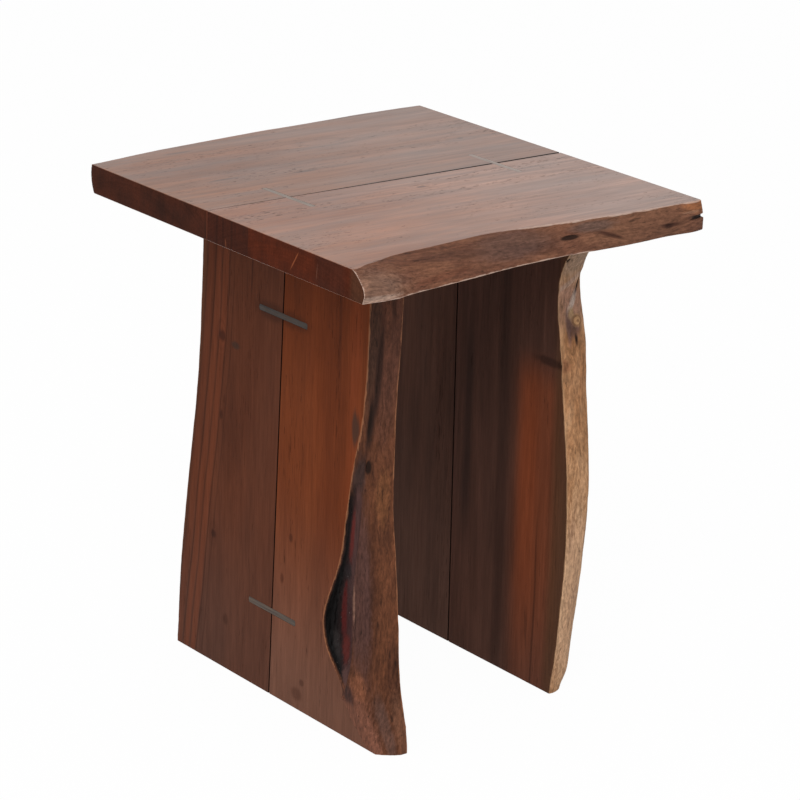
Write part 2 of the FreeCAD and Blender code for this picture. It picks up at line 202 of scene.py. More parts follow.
def growth(tree, grain, part, look):
    """Distance from the pith with its waves and knots, and the waved place across the plank."""
    slow = grain_noise(tree, grain, SLOW_WAVE_NOISE, look["seed"])
    quick = grain_noise(tree, grain, QUICK_WAVE_NOISE, look["seed"])
    across = calc(tree, "MULTIPLY_ADD", slow, SLOW_WAVE, part["Y"])
    across = calc(tree, "MULTIPLY_ADD", quick, QUICK_WAVE, across)
    across = calc(tree, "SUBTRACT", across, 0.5 * (SLOW_WAVE + QUICK_WAVE))
    start, slope = look["flare"]
    below = calc(tree, "SUBTRACT", start, part["X"])
    bend = calc(tree, "SQRT", calc(tree, "MULTIPLY_ADD", below, below, FLARE_BEND ** 2))
    across = calc(tree, "MULTIPLY_ADD", calc(tree, "ADD", below, bend), -0.5 * slope, across)
    offset = calc(tree, "SUBTRACT", across, look["pith"][0])
    depth = calc(tree, "SUBTRACT", part["Z"], look["pith"][1])
    squares = calc(tree, "MULTIPLY_ADD", offset, offset, calc(tree, "MULTIPLY", depth, depth))
    radius = calc(tree, "SQRT", squares)
    for along, side, long_radius, short_radius, push in look["knots"]:
        swell = hill(tree, part["X"], part["Y"], (along, side), (long_radius, short_radius))
        radius = calc(tree, "MULTIPLY_ADD", swell, push, radius)
    return radius, across


def growth_noise(tree, part, radius, along, count, seed):
    """Noise that follows the growth lines and changes slowly along the grain."""
    inputs = {0: calc(tree, "MULTIPLY", part["X"], along), 1: calc(tree, "MULTIPLY", radius, count), 2: seed}
    place = add(tree, "ShaderNodeCombineXYZ", inputs).outputs[0]
    return noise(tree, place, GROWTH_DETAIL, GROWTH_ROUGHNESS)


# %% [markdown]
# ## Finish of the planed faces
# The faces carry a thin satin finish. Under it lie broad bands of red, brown and near black, soft streaks,
# and short dark pores that run with the grain and gather in the growth lines. Broad zones come first and
# fine ones are laid over them, as a stainer would do. What is special on one plank, such as a dark line, an
# orange band or a knot, is a line of its sheet.

# %% Zones laid over the bands
SPOT_RAGGEDNESS = 0.8
SPOT_LEVELS = (0.18, 0.78)
ARRIS_RAGGEDNESS = 2.4
ARRIS_LEVELS = (0.35, 0.85)
ARRIS_CORE = (0.1, 0.5)


def broken(tree, value, ragged, amount):
    """A value whose rim is broken up by a noise."""
    return calc(tree, "MULTIPLY_ADD", calc(tree, "SUBTRACT", ragged, 0.5), amount, value)


def lay_stripes(tree, colour, part, across, look):
    """Long bands: place across, half width, softness, run (from, softness, to, softness), tone, strength."""
    for centre, half, soft, run, stripe_tone, strength in look["stripes"]:
        away = calc(tree, "ABSOLUTE", calc(tree, "SUBTRACT", across, centre))
        mask = soft_step(tree, away, half, half + soft, strength, 0.0)
        if run:
            start = soft_step(tree, part["X"], run[0] - run[1], run[0] + run[1])
            stop = soft_step(tree, part["X"], run[2] - run[3], run[2] + run[3], 1.0, 0.0)
            mask = calc(tree, "MULTIPLY", mask, calc(tree, "MULTIPLY", start, stop))
        colour = mix(tree, mask, colour, stripe_tone)
    return colour


def lay_spots(tree, colour, first, second, ragged, spots):
    """Small marks: two places, two radii, tone, strength and lean. The ragged noise breaks their rims."""
    for along, side, long_radius, short_radius, spot_tone, strength, *lean in spots:
        swell = hill(tree, first, second, (along, side), (long_radius, short_radius), *lean)
        edge = broken(tree, swell, ragged, SPOT_RAGGEDNESS)
        colour = mix(tree, soft_step(tree, edge, *SPOT_LEVELS, 0.0, strength), colour, spot_tone)
    return colour


def arris_glint_and_wear(tree, ragged):
    """Thin broken pale line along the corners of the live edge: partly wear, partly a painted highlight."""
    arris = add(tree, "ShaderNodeAttribute", attribute_name="arris").outputs["Fac"]
    line = soft_step(tree, broken(tree, arris, ragged, ARRIS_RAGGEDNESS), *ARRIS_LEVELS)
    return calc(tree, "MULTIPLY", line, soft_step(tree, arris, *ARRIS_CORE))


# %% The material of a planed face
CLOUDS = (7.0, 34.0, 3.0, 0.6)
STREAKS = (12.0, 190.0, 4.0, 0.66)
FIBRE = (36.0, 800.0, 3.0, 0.6)
SMEARS = (9.0, 95.0, 4.0, 0.62)
SMEAR_LEVELS = (0.58, 0.76)
BAND_STRETCH, LINE_STRETCH, ROW_STRETCH = 2.2, 5.0, 3.0
PORE_DETAIL = (2.0, 0.5)
PORE_GATHERING = 0.6
PORE_SOFTNESS = 0.07


def planed_material(name, look):
    """Satin wood with bands, streaks, pores and the pale line beside the live edge, wear and painted
    highlight.
    """
    material, tree, shader = new_material(name)
    seed = look["seed"]
    grain, part = grain_space(tree, look["standing"])
    radius, across = growth(tree, grain, part, look)
    bands = growth_noise(tree, part, radius, BAND_STRETCH, look["bands"], seed)
    colour = colour_ramp(tree, bands, look["tones"])
    # Fades along the grain. Some are painted light: the paler, greyer right end of the top is a painted
    # sheen, and the paler, greyer foot of a leg is painted light from the floor.
    for low, high, fade_tone, strength in look["fades"]:
        colour = mix(tree, soft_step(tree, part["X"], low, high, 0.0, strength), colour, fade_tone)
    clouds = grain_noise(tree, grain, CLOUDS, seed + 1.0)
    colour = shade(tree, colour, clouds, 1.0 - look["cloud_depth"], 1.0 + 0.8 * look["cloud_depth"])
    colour = lay_stripes(tree, colour, part, across, look)
    lines = growth_noise(tree, part, radius, LINE_STRETCH, look["lines"], seed + 2.0)
    colour = shade(tree, colour, lines, 1.0 - look["line_depth"], 1.0 + 0.6 * look["line_depth"])
    streaks = grain_noise(tree, grain, STREAKS, seed)
    colour = shade(tree, colour, streaks, 1.0 - look["streak_depth"], 1.0 + 0.8 * look["streak_depth"])
    fibre = grain_noise(tree, grain, FIBRE, seed)
    colour = shade(tree, colour, fibre, 0.9, 1.08)
    smears = grain_noise(tree, grain, SMEARS, seed + 6.0)
    smeared = soft_step(tree, smears, *SMEAR_LEVELS, 0.0, look["smear_depth"])
    colour = mix(tree, smeared, colour, look["smear_tone"])
    colour = lay_spots(tree, colour, part["X"], part["Y"], streaks, look["spots"])

    dashes = grain_noise(tree, grain, look["pores"] + PORE_DETAIL, seed + 3.0)
    rows = growth_noise(tree, part, radius, ROW_STRETCH, look["pore_rows"], seed + 4.0)
    gathered = broken(tree, dashes, rows, PORE_GATHERING)
    pores = soft_step(tree, gathered, look["pore_level"], look["pore_level"] + PORE_SOFTNESS)
    colour = mix(tree, calc(tree, "MULTIPLY", pores, look["pore_depth"]), colour, look["pore_tone"])
    # The pale arris line: partly wear, partly a painted highlight.
    wear_and_glint = calc(tree, "MULTIPLY", arris_glint_and_wear(tree, dashes), look["arris_wear_and_glint"])
    colour = mix(tree, wear_and_glint, colour, look["arris_wear_and_glint_tone"])
    tree.links.new(colour, shader.inputs["Base Color"])

    satin = soft_step(tree, clouds, 0.25, 0.75, look["roughness"] - 0.05, look["roughness"] + 0.07)
    tree.links.new(calc(tree, "MULTIPLY_ADD", pores, 0.2, satin), shader.inputs["Roughness"])
    shader.inputs["Specular IOR Level"].default_value = look["gloss"]
    set_bump(tree, shader, calc(tree, "SUBTRACT", calc(tree, "MULTIPLY", fibre, 0.4), pores), 0.25 * MM, 0.3)
    return material


# %% [markdown]
# ## Finish of the live edges
# Under the bark the trunk has a matt, mottled skin, brown on one plank and pale tan on the next, streaked
# with the grain. Its corners are pale, partly rubbed and partly a painted highlight. Where the trunk folded
# in, bark grew into a deep slit, painted black under its far lip as the shadow there, and dark red where the
# old bark still sits. The mesh carries these places as attributes: arris, hollow for the depth of a slit,
# crossing for the way from its far lip to its near one, pit for small holes, painted dark as the shade in
# them, and knot for the rings of a branch.

# %% The material of a live edge
SKIN_BLOTS = (12.0, 60.0, 5.0, 0.62)
SKIN_STREAKS = (26.0, 420.0, 5.0, 0.7)
SKIN_MOTTLE = (150.0, 420.0, 4.0, 0.7)
STREAK_DRIFT = 0.016
DRIFT_NOISE = (16.0, 46.0, 2.0, 0.5)
FLECKS = (62.0, 400.0, 3.0, 0.6)
FLECK_LEVELS = (0.6, 0.7)
RINGS_IN_KNOT = 1.7
RING_WAVINESS = 2.0
KNOT_LEVELS = (0.1, 0.4)
KNOT_STRENGTH = 0.6
SLIT_RAGGEDNESS = 0.3
SLIT_LEVELS = (0.02, 0.3)
SPECKS = (380.0, 420.0, 1.0, 0.5)
SPECK_LEVELS = (0.76, 0.8)
SPECK_STRENGTH = 0.6
PIT_RAGGEDNESS = 0.5
PIT_LEVELS = (0.35, 0.7)
PIT_SHADE_STRENGTH = 0.9


def live_material(name, look):
    """Matt skin of the trunk with its holes, knots and hollow."""
    material, tree, shader = new_material(name)
    seed = look["seed"]
    grain, part = grain_space(tree, look["standing"])
    zone = {key: add(tree, "ShaderNodeAttribute", attribute_name=key).outputs["Fac"]
            for key in ("hollow", "crossing", "pit", "knot")}
    blots = grain_noise(tree, grain, SKIN_BLOTS, seed + 5.0)
    colour = colour_ramp(tree, blots, look["skin"])
    drift = calc(tree, "MULTIPLY", grain_noise(tree, grain, DRIFT_NOISE, seed + 12.0), STREAK_DRIFT)
    swung = vector(tree, "ADD", grain, add(tree, "ShaderNodeCombineXYZ", {2: drift}).outputs[0])
    streaks = grain_noise(tree, swung, SKIN_STREAKS, seed + 9.0)
    mottle = grain_noise(tree, swung, SKIN_MOTTLE, seed)
    colour = lay_spots(tree, colour, part["X"], part["Z"], mottle, look["skin_spots"])
    colour = shade(tree, colour, streaks, 1.0 - 0.34 * look["skin_depth"], 1.0 + 0.27 * look["skin_depth"])
    colour = shade(tree, colour, mottle, 1.0 - 0.42 * look["skin_depth"], 1.0 + 0.34 * look["skin_depth"])
    flecks = grain_noise(tree, grain, FLECKS, seed + 2.0)
    flecked = soft_step(tree, flecks, *FLECK_LEVELS, 0.0, look["fleck_depth"])
    colour = mix(tree, flecked, colour, look["fleck_tone"])
    turns = calc(tree, "MULTIPLY", mottle, RING_WAVINESS)
    turns = calc(tree, "MULTIPLY_ADD", zone["knot"], math.tau * RINGS_IN_KNOT, turns)
    ring_tone = colour_ramp(tree, soft_step(tree, calc(tree, "SINE", turns), -1.0, 1.0), look["knot_tones"])
    colour = mix(tree, soft_step(tree, zone["knot"], *KNOT_LEVELS, 0.0, KNOT_STRENGTH), colour, ring_tone)
    # Pale corners of the skin: partly rubbed, partly a painted highlight.
    pale_corners = calc(tree, "MULTIPLY", arris_glint_and_wear(tree, flecks), look["arris_wear_and_glint"])
    colour = mix(tree, pale_corners, colour, look["arris_wear_and_glint_tone"])

    torn = broken(tree, zone["hollow"], mottle, SLIT_RAGGEDNESS)
    # A slit is painted near black under its far lip: painted shadow; the dark red is old bark.
    slit = shade(tree, colour_ramp(tree, zone["crossing"], look["slit"]), streaks, 0.7, 1.3)
    slit = lay_spots(tree, slit, part["X"], zone["crossing"], mottle, look["slit_spots"])
    specks = grain_noise(tree, grain, SPECKS, seed + 7.0)
    slit = mix(tree, soft_step(tree, specks, *SPECK_LEVELS, 0.0, SPECK_STRENGTH), slit, look["speck_tone"])
    colour = mix(tree, soft_step(tree, torn, *SLIT_LEVELS), colour, slit)
    # Painted shade: narrow dents, the holes and short cracks, are darkened as the shade inside them.
    dent_shade = broken(tree, zone["pit"], mottle, PIT_RAGGEDNESS)
    colour = mix(tree, soft_step(tree, dent_shade, *PIT_LEVELS, 0.0, PIT_SHADE_STRENGTH), colour, look["fleck_tone"])
    tree.links.new(colour, shader.inputs["Base Color"])

    matt = soft_step(tree, mottle, 0.3, 0.7, 0.6, 0.78)
    tree.links.new(calc(tree, "MULTIPLY_ADD", zone["hollow"], -0.25, matt), shader.inputs["Roughness"])
    shader.inputs["Specular IOR Level"].default_value = look["skin_gloss"]
    height = calc(tree, "ADD", calc(tree, "MULTIPLY", mottle, 0.7), streaks)
    set_bump(tree, shader, height, 0.8 * MM, 0.6)
    return material


# %% [markdown]
# ## Sawn ends and the joints
# Across the grain the saw leaves a darker face: the open pores drink the finish in blotches, growth lines
# cross it as faint arcs, and the blade leaves upright marks. The narrow faces inside a joint are painted
# nearly black as the shade that fills the gap, which draws the thin line between two planks; at the left end
# of the top, where light gets into the gap, they are painted brown as that light.

# %% The material of a sawn end
BLOTCH_COUNTS = (20.0, 42.0, 34.0)
SAW_COUNTS = (40.0, 300.0, 34.0)
GRIT_COUNTS = (700.0, 700.0, 700.0)
ARC_STRETCH, ARC_COUNT = 1.0, 420.0
DULL_GLOSS = 0.02


def end_material(name, look):
    """Dark end grain with blotches, arcs, saw marks and patches of its own."""
    material, tree, shader = new_material(name)
    seed = look["seed"]
    grain, part = grain_space(tree, look["standing"])
    radius, _ = growth(tree, grain, part, look | {"knots": []})
    shifted = vector(tree, "ADD", vector(tree, "MULTIPLY", grain, BLOTCH_COUNTS), (seed, seed, seed))
    blotches = noise(tree, shifted, 4.0, 0.6)
    colour = colour_ramp(tree, blotches, look["end_tones"])
    for centre, half, soft, patch_tone, strength in look["end_patches"]:
        away = calc(tree, "ABSOLUTE", calc(tree, "SUBTRACT", part["Y"], centre))
        colour = mix(tree, soft_step(tree, away, half, half + soft, strength, 0.0), colour, patch_tone)
    arcs = growth_noise(tree, part, radius, ARC_STRETCH, ARC_COUNT, seed)
    colour = shade(tree, colour, arcs, 0.88, 1.08)
    saw = counted_noise(tree, grain, SAW_COUNTS, 4.0, 0.62)
    colour = shade(tree, colour, saw, 0.86, 1.1)
    grit = counted_noise(tree, grain, GRIT_COUNTS)
    colour = shade(tree, colour, grit, 0.86, 1.1)
    colour = lay_spots(tree, colour, part["Y"], part["Z"], saw, look["end_spots"])
    tree.links.new(colour, shader.inputs["Base Color"])
    tree.links.new(soft_step(tree, saw, 0.3, 0.7, 0.56, 0.7), shader.inputs["Roughness"])
    shader.inputs["Specular IOR Level"].default_value = DULL_GLOSS
    set_bump(tree, shader, calc(tree, "ADD", saw, grit), 0.2 * MM, 0.3)
    return material


# %% Painted shade inside the joints
JOINT_SHADE_COUNTS = (140.0, 140.0, 140.0)
LIT_GAP_END = (-0.17, -0.205)
LIT_GAP_STRENGTH = 0.9


def joint_shade_material():
    """Painted shade in the joints, nearly black, with painted light in brown at the top's left end."""
    material, tree, shader = new_material("joint_painted_shade")
    place = add(tree, "ShaderNodeTexCoord").outputs["Object"]
    shade_mottle = counted_noise(tree, place, JOINT_SHADE_COUNTS, 4.0, 0.6)
    # Painted shade: the joint faces are nearly black, as the shade deep inside the open joint.
    colour = colour_ramp(tree, shade_mottle, [(0.3, tone(12, 8, 7)), (0.7, tone(30, 19, 15))])
    along = add(tree, "ShaderNodeSeparateXYZ", {0: place}).outputs["X"]
    # Painted light: brown towards the left end of the top, where light gets into the joint.
    colour = mix(tree, soft_step(tree, along, *LIT_GAP_END, 0.0, LIT_GAP_STRENGTH), colour, tone(104, 58, 42))
    tree.links.new(colour, shader.inputs["Base Color"])
    tree.links.new(soft_step(tree, shade_mottle, 0.3, 0.7, 0.75, 0.9), shader.inputs["Roughness"])
    shader.inputs["Specular IOR Level"].default_value = DULL_GLOSS
    return material


# %% [markdown]
# ## What each plank looks like
# The planks come from one kind of tree but not from one place in it: the top is washed out by the light of
# the room, the left leg is warm red-brown, and the right leg is dark brown inside with one orange band.
# Each plank therefore has its own sheet. Places are metres: along the grain first, then across the table on
# a face, or through the plank on a live edge.

# %% What all planks share
COMMON = {
    "bands": 60.0,
    "lines": 380.0,
    "line_depth": 0.1,
    "cloud_depth": 0.1,
    "streak_depth": 0.12,
    "smear_depth": 0.15,
    "smear_tone": tone(52, 32, 25),
    "pores": (52.0, 800.0),
    "pore_rows": 120.0,
    "pore_level": 0.68,
    "pore_depth": 0.5,
    "pore_tone": tone(36, 22, 17),
    "flare": (0.0, 0.0),
    "knots": [],
    "stripes": [],
    "spots": [],
    "fades": [],
    # Pale line along the arrises: partly wear, partly a painted highlight.
    "arris_wear_and_glint": 0.55,
    "arris_wear_and_glint_tone": tone(176, 120, 82),
    "skin_spots": [],
    "skin_gloss": 0.08,
    "skin_depth": 1.0,
    "fleck_depth": 0.5,
    "fleck_tone": tone(30, 20, 16),
    "knot_tones": [(0.2, tone(108, 76, 52)), (0.7, tone(174, 134, 96))],
    # Colours across a slit from its far lip: the near black is painted shadow, the dark red is old bark.
    "slit": [(0.0, tone(8, 7, 7)), (0.2, tone(14, 11, 11)), (0.32, tone(40, 24, 23)),
             (0.5, tone(74, 50, 47))],
    "slit_spots": [],
    "speck_tone": tone(150, 138, 132),
    "end_tones": [(0.3, tone(54, 31, 24)), (0.5, tone(64, 35, 26)), (0.7, tone(72, 38, 27))],
    "end_patches": [],
    "end_spots": [],
}
TOP_LOOK = COMMON | {
    "standing": False,
    "roughness": 0.4,
    "gloss": 0.5,
    "bands": 46.0,
    "line_depth": 0.2,
    "cloud_depth": 0.16,
    "streak_depth": 0.18,
    "smear_depth": 0.3,
    "smear_tone": tone(78, 54, 46),
    "pores": (120.0, 600.0),
    "pore_depth": 0.6,
    "skin": [(0.3, tone(76, 50, 37)), (0.46, tone(104, 72, 53)), (0.6, tone(124, 86, 62)),
             (0.75, tone(94, 62, 45))],
}
LEG_LOOK = COMMON | {
    "standing": True,
    "roughness": 0.5,
    "gloss": 0.02,
}

# %% The two planks of the top
DARK_MARK = tone(62, 42, 35)
# Painted shade: a dark rim beside the open joint on both top planks widens the dark line of the gap.
JOINT_SHADE_RIM = tone(60, 34, 28)
TOP_BACK_LOOK = TOP_LOOK | {
    "seed": 4.0,
    "pith": (0.13, 0.30),
    "tones": [(0.3, tone(116, 71, 48)), (0.45, tone(127, 81, 55)), (0.58, tone(136, 89, 62)),
              (0.75, tone(121, 75, 51))],
    # Painted sheen: paler and greyer towards the right end, the washed-out reflection of the room's light.
    "fades": [(-0.2, 0.2, tone(138, 105, 90), 0.9)],
    "knots": [
        (0.159, 0.103, 0.016, 0.008, 0.014),
        (-0.133, 0.091, 0.03, 0.006, 0.005),
        (0.03, 0.16, 0.03, 0.009, 0.008),
    ],
    "spots": [
        (-0.049, 0.077, 0.016, 0.003, DARK_MARK, 0.6),
        (-0.133, 0.091, 0.02, 0.002, DARK_MARK, 0.6),
        (-0.115, 0.197, 0.018, 0.003, DARK_MARK, 0.5),
        (0.159, 0.103, 0.005, 0.003, DARK_MARK, 0.6),
        # Painted shade beside the open joint.
        (0.1, 0.0075, 0.22, 0.0022, JOINT_SHADE_RIM, 0.75),
    ],
}
TOP_FRONT_LOOK = TOP_LOOK | {
    "seed": 11.0,
    "pith": (-0.13, 0.26),
    "lines": 300.0,
    "pore_level": 0.65,
    "tones": [(0.3, tone(130, 81, 57)), (0.45, tone(142, 92, 66)), (0.58, tone(152, 101, 74)),
              (0.75, tone(135, 85, 60))],
    # Painted sheen: paler and greyer towards the right end, the washed-out reflection of the room's light.
    "fades": [(-0.2, 0.2, tone(154, 123, 110), 0.9)],
    "knots": [(0.011, -0.027, 0.012, 0.006, 0.009)],
    "spots": [
        (0.011, -0.027, 0.006, 0.003, DARK_MARK, 0.6),
        (-0.09, -0.05, 0.02, 0.002, DARK_MARK, 0.4),
        # Painted shade beside the open joint.
        (0.1, 0.0065, 0.22, 0.0018, JOINT_SHADE_RIM, 0.75),
    ],
    # Painted highlight: a pale pinkish-white line along the front arrises, partly wear.
    "arris_wear_and_glint": 0.6,
    "arris_wear_and_glint_tone": tone(206, 178, 162),
    "skin_depth": 0.75,
    "skin": [(0.3, tone(83, 52, 41)), (0.46, tone(107, 70, 54)), (0.6, tone(122, 82, 62)),
             (0.75, tone(96, 61, 47))],
    "slit": [(0.0, tone(84, 66, 58)), (0.3, tone(40, 29, 26)), (0.6, tone(62, 48, 43)),
             (0.9, tone(104, 82, 70))],
    "skin_spots": [
        (0.13, 0.486, 0.08, 0.03, tone(114, 80, 61), 0.5),
        (0.206, 0.497, 0.026, 0.007, tone(152, 96, 60), 0.6),
        (0.167, 0.4828, 0.014, 0.0022, tone(58, 34, 28), 0.75),
        (0.165, 0.482, 0.005, 0.0022, tone(46, 26, 22), 0.7),
        (0.093, 0.4842, 0.018, 0.0022, tone(62, 36, 29), 0.75, -18.0),
        (0.194, 0.4915, 0.012, 0.0013, tone(160, 124, 102), 0.4),
        (0.075, 0.494, 0.028, 0.005, tone(94, 76, 69), 0.65),
        (-0.02, 0.489, 0.05, 0.012, tone(90, 69, 62), 0.6),
        (-0.09, 0.492, 0.05, 0.004, tone(84, 56, 46), 0.6, -4.0),
        (-0.11, 0.48, 0.04, 0.003, tone(104, 62, 46), 0.5, 3.0),
        (-0.2, 0.482, 0.045, 0.016, tone(138, 110, 94), 0.45),
        (-0.196, 0.4755, 0.03, 0.003, tone(180, 154, 138), 0.5),
    ],
    "end_tones": [(0.3, tone(66, 31, 20)), (0.5, tone(76, 35, 22)), (0.7, tone(86, 39, 24))],
    "end_patches": [
        (-0.02, 0.0385, 0.0006, tone(56, 31, 24), 0.7),
        (-0.185, 0.014, 0.014, tone(62, 34, 26), 0.6),
        (-0.232, 0.012, 0.01, tone(76, 48, 34), 0.8),
        (-0.009, 0.0008, 0.0012, tone(42, 23, 18), 0.5),
        (-0.019, 0.0008, 0.0012, tone(42, 23, 18), 0.45),
        (-0.033, 0.0008, 0.0014, tone(44, 24, 18), 0.4),
    ],
    "end_spots": [
        (-0.1314, 0.4868, 0.011, 0.0007, tone(148, 84, 54), 0.6, 123.0),
        (-0.0235, 0.476, 0.005, 0.0007, tone(140, 82, 54), 0.5, 80.0),
        (-0.165, 0.4845, 0.009, 0.0006, tone(120, 82, 66), 0.4, 96.0),
    ],
}

# %% The two planks of the left leg
DARK_LINE = tone(44, 24, 18)
WARM_BAND = tone(116, 60, 38)
LINES_OF_BACK = [(0.122, 0.25), (0.108, 0.4), (0.096, 0.3), (0.0845, 0.4), (0.076, 0.25)]
LEFT_BACK_LOOK = LEG_LOOK | {
    "seed": 23.0,
    "pith": (0.06, 0.05),
    "tones": [(0.28, tone(72, 39, 27)), (0.45, tone(81, 44, 30)), (0.6, tone(90, 50, 34)),
              (0.78, tone(76, 41, 28))],
    # Painted light: paler and greyer towards the foot, where light thrown up by the floor falls.
    "fades": [(0.2, 0.0, tone(88, 60, 50), 0.75)],
    "flare": (0.37, 0.155),
    "stripes": [
        (0.115, 0.002, 0.006, None, WARM_BAND, 0.3),
        (0.102, 0.002, 0.005, None, WARM_BAND, 0.45),
        (0.0905, 0.002, 0.005, None, WARM_BAND, 0.45),
        (0.133, 0.005, 0.009, None, tone(100, 66, 46), 0.5),
        (-0.01, 0.016, 0.04, None, tone(98, 58, 42), 0.35),
        *[(place, 0.0003, 0.0013, None, DARK_LINE, strength) for place, strength in LINES_OF_BACK],
        (0.0487, 0.0004, 0.001, (0.395, 0.02, 0.5, 0.01), DARK_LINE, 0.6),
    ],
    "knots": [(0.342, 0.101, 0.014, 0.007, 0.012), (0.135, 0.1125, 0.012, 0.006, 0.01)],
    "spots": [
        (0.342, 0.101, 0.006, 0.006, tone(50, 27, 21), 0.7),
        (0.338, 0.078, 0.004, 0.008, tone(56, 44, 38), 0.7),
        (0.135, 0.1125, 0.005, 0.005, tone(48, 27, 21), 0.65),
        (0.262, 0.101, 0.005, 0.003, DARK_LINE, 0.5),
        (0.387, 0.018, 0.01, 0.03, tone(56, 33, 25), 0.6),
        (0.052, 0.09, 0.006, 0.005, DARK_LINE, 0.4),
    ],
    "skin": [(0.3, tone(60, 38, 28)), (0.5, tone(96, 62, 44)), (0.72, tone(122, 82, 58))],
}
LEFT_FRONT_LOOK = LEG_LOOK | {
    "seed": 31.0,
    "pith": (-0.02, 0.06),
    "line_depth": 0.07,
    "streak_depth": 0.1,
    "tones": [(0.28, tone(96, 46, 24)), (0.45, tone(104, 51, 27)), (0.6, tone(112, 57, 31)),
              (0.78, tone(99, 48, 25))],
    # The second fade is painted light: paler and greyer towards the foot, where light from the floor falls.
    # The first darkens the upper part.
    "fades": [(0.24, 0.47, tone(96, 46, 24), 0.65), (0.24, 0.0, tone(112, 79, 65), 0.85)],
    "stripes": [
        (-0.112, 0.004, 0.009, (0.2, 0.1, 0.6, 0.1), tone(122, 58, 32), 0.5),
        (-0.09, 0.0005, 0.003, (0.35, 0.05, 0.6, 0.1), tone(72, 36, 22), 0.5),
    ],
    "spots": [
        (0.310, -0.1165, 0.0175, 0.0068, tone(64, 46, 38), 0.85),
        (0.172, -0.018, 0.005, 0.003, tone(66, 34, 22), 0.7),
        (0.1266, -0.005, 0.006, 0.003, tone(70, 36, 24), 0.6),
        (0.016, -0.032, 0.007, 0.009, tone(72, 42, 32), 0.5),
        (0.03, -0.04, 0.004, 0.004, tone(60, 34, 26), 0.5),
        (0.387, -0.014, 0.009, 0.03, tone(62, 32, 20), 0.55),
    ],
    "skin": [(0.3, tone(60, 35, 25)), (0.47, tone(84, 50, 34)), (0.62, tone(100, 60, 40)),
             (0.78, tone(72, 43, 31))],
    # Pale arris line: partly wear, partly a painted highlight.
    "arris_wear_and_glint": 0.38,
    "arris_wear_and_glint_tone": tone(180, 122, 86),
    "skin_depth": 0.8,
    "fleck_depth": 0.65,
    "skin_spots": [
        (0.42, -0.11, 0.13, 0.02, tone(88, 56, 45), 0.7),
        (0.43, -0.1225, 0.11, 0.006, tone(58, 40, 32), 0.8),
        (0.365, -0.1172, 0.058, 0.0028, tone(36, 25, 22), 0.75, 1.5),
        (0.317, -0.1205, 0.03, 0.0024, tone(34, 24, 21), 0.75),
        (0.44, -0.1075, 0.03, 0.003, tone(62, 40, 32), 0.6),
        (0.262, -0.1225, 0.026, 0.0034, tone(52, 40, 38), 0.8),
        # Painted shadow: black on the skin just under the far lip of the hollow.
        (0.222, -0.1248, 0.032, 0.0032, tone(12, 10, 10), 0.95),
        (0.245, -0.107, 0.03, 0.006, tone(116, 74, 46), 0.5),
        (0.15, -0.1205, 0.1, 0.0055, tone(76, 52, 48), 0.8),
        (0.137, -0.1233, 0.018, 0.0004, tone(150, 112, 94), 0.5),
        (0.012, -0.1255, 0.045, 0.006, tone(118, 76, 60), 0.85),
        (0.056, -0.1225, 0.014, 0.003, tone(130, 80, 56), 0.6),
        # Painted shade: a dark strip beside the narrow tail of the slit.
        (0.046, -0.1264, 0.011, 0.0012, tone(56, 37, 34), 0.85),
        (0.02, -0.114, 0.035, 0.0045, tone(92, 68, 60), 0.6),
        (0.02, -0.103, 0.04, 0.006, tone(112, 76, 58), 0.5),
    ],
    "slit_spots": [
        (0.2, 0.4, 0.03, 0.11, tone(92, 36, 32), 0.8),
        (0.12, 0.34, 0.034, 0.06, tone(84, 27, 25), 0.85),
        (0.115, 0.43, 0.04, 0.06, tone(64, 40, 40), 0.7),
        (0.08, 0.38, 0.014, 0.09, tone(92, 36, 31), 0.75),
        (0.163, 0.36, 0.011, 0.15, tone(34, 27, 28), 0.85),
        (0.057, 0.4, 0.01, 0.2, tone(90, 64, 60), 0.7),
        (0.085, 0.2, 0.016, 0.06, tone(48, 41, 40), 0.5),
    ],
}

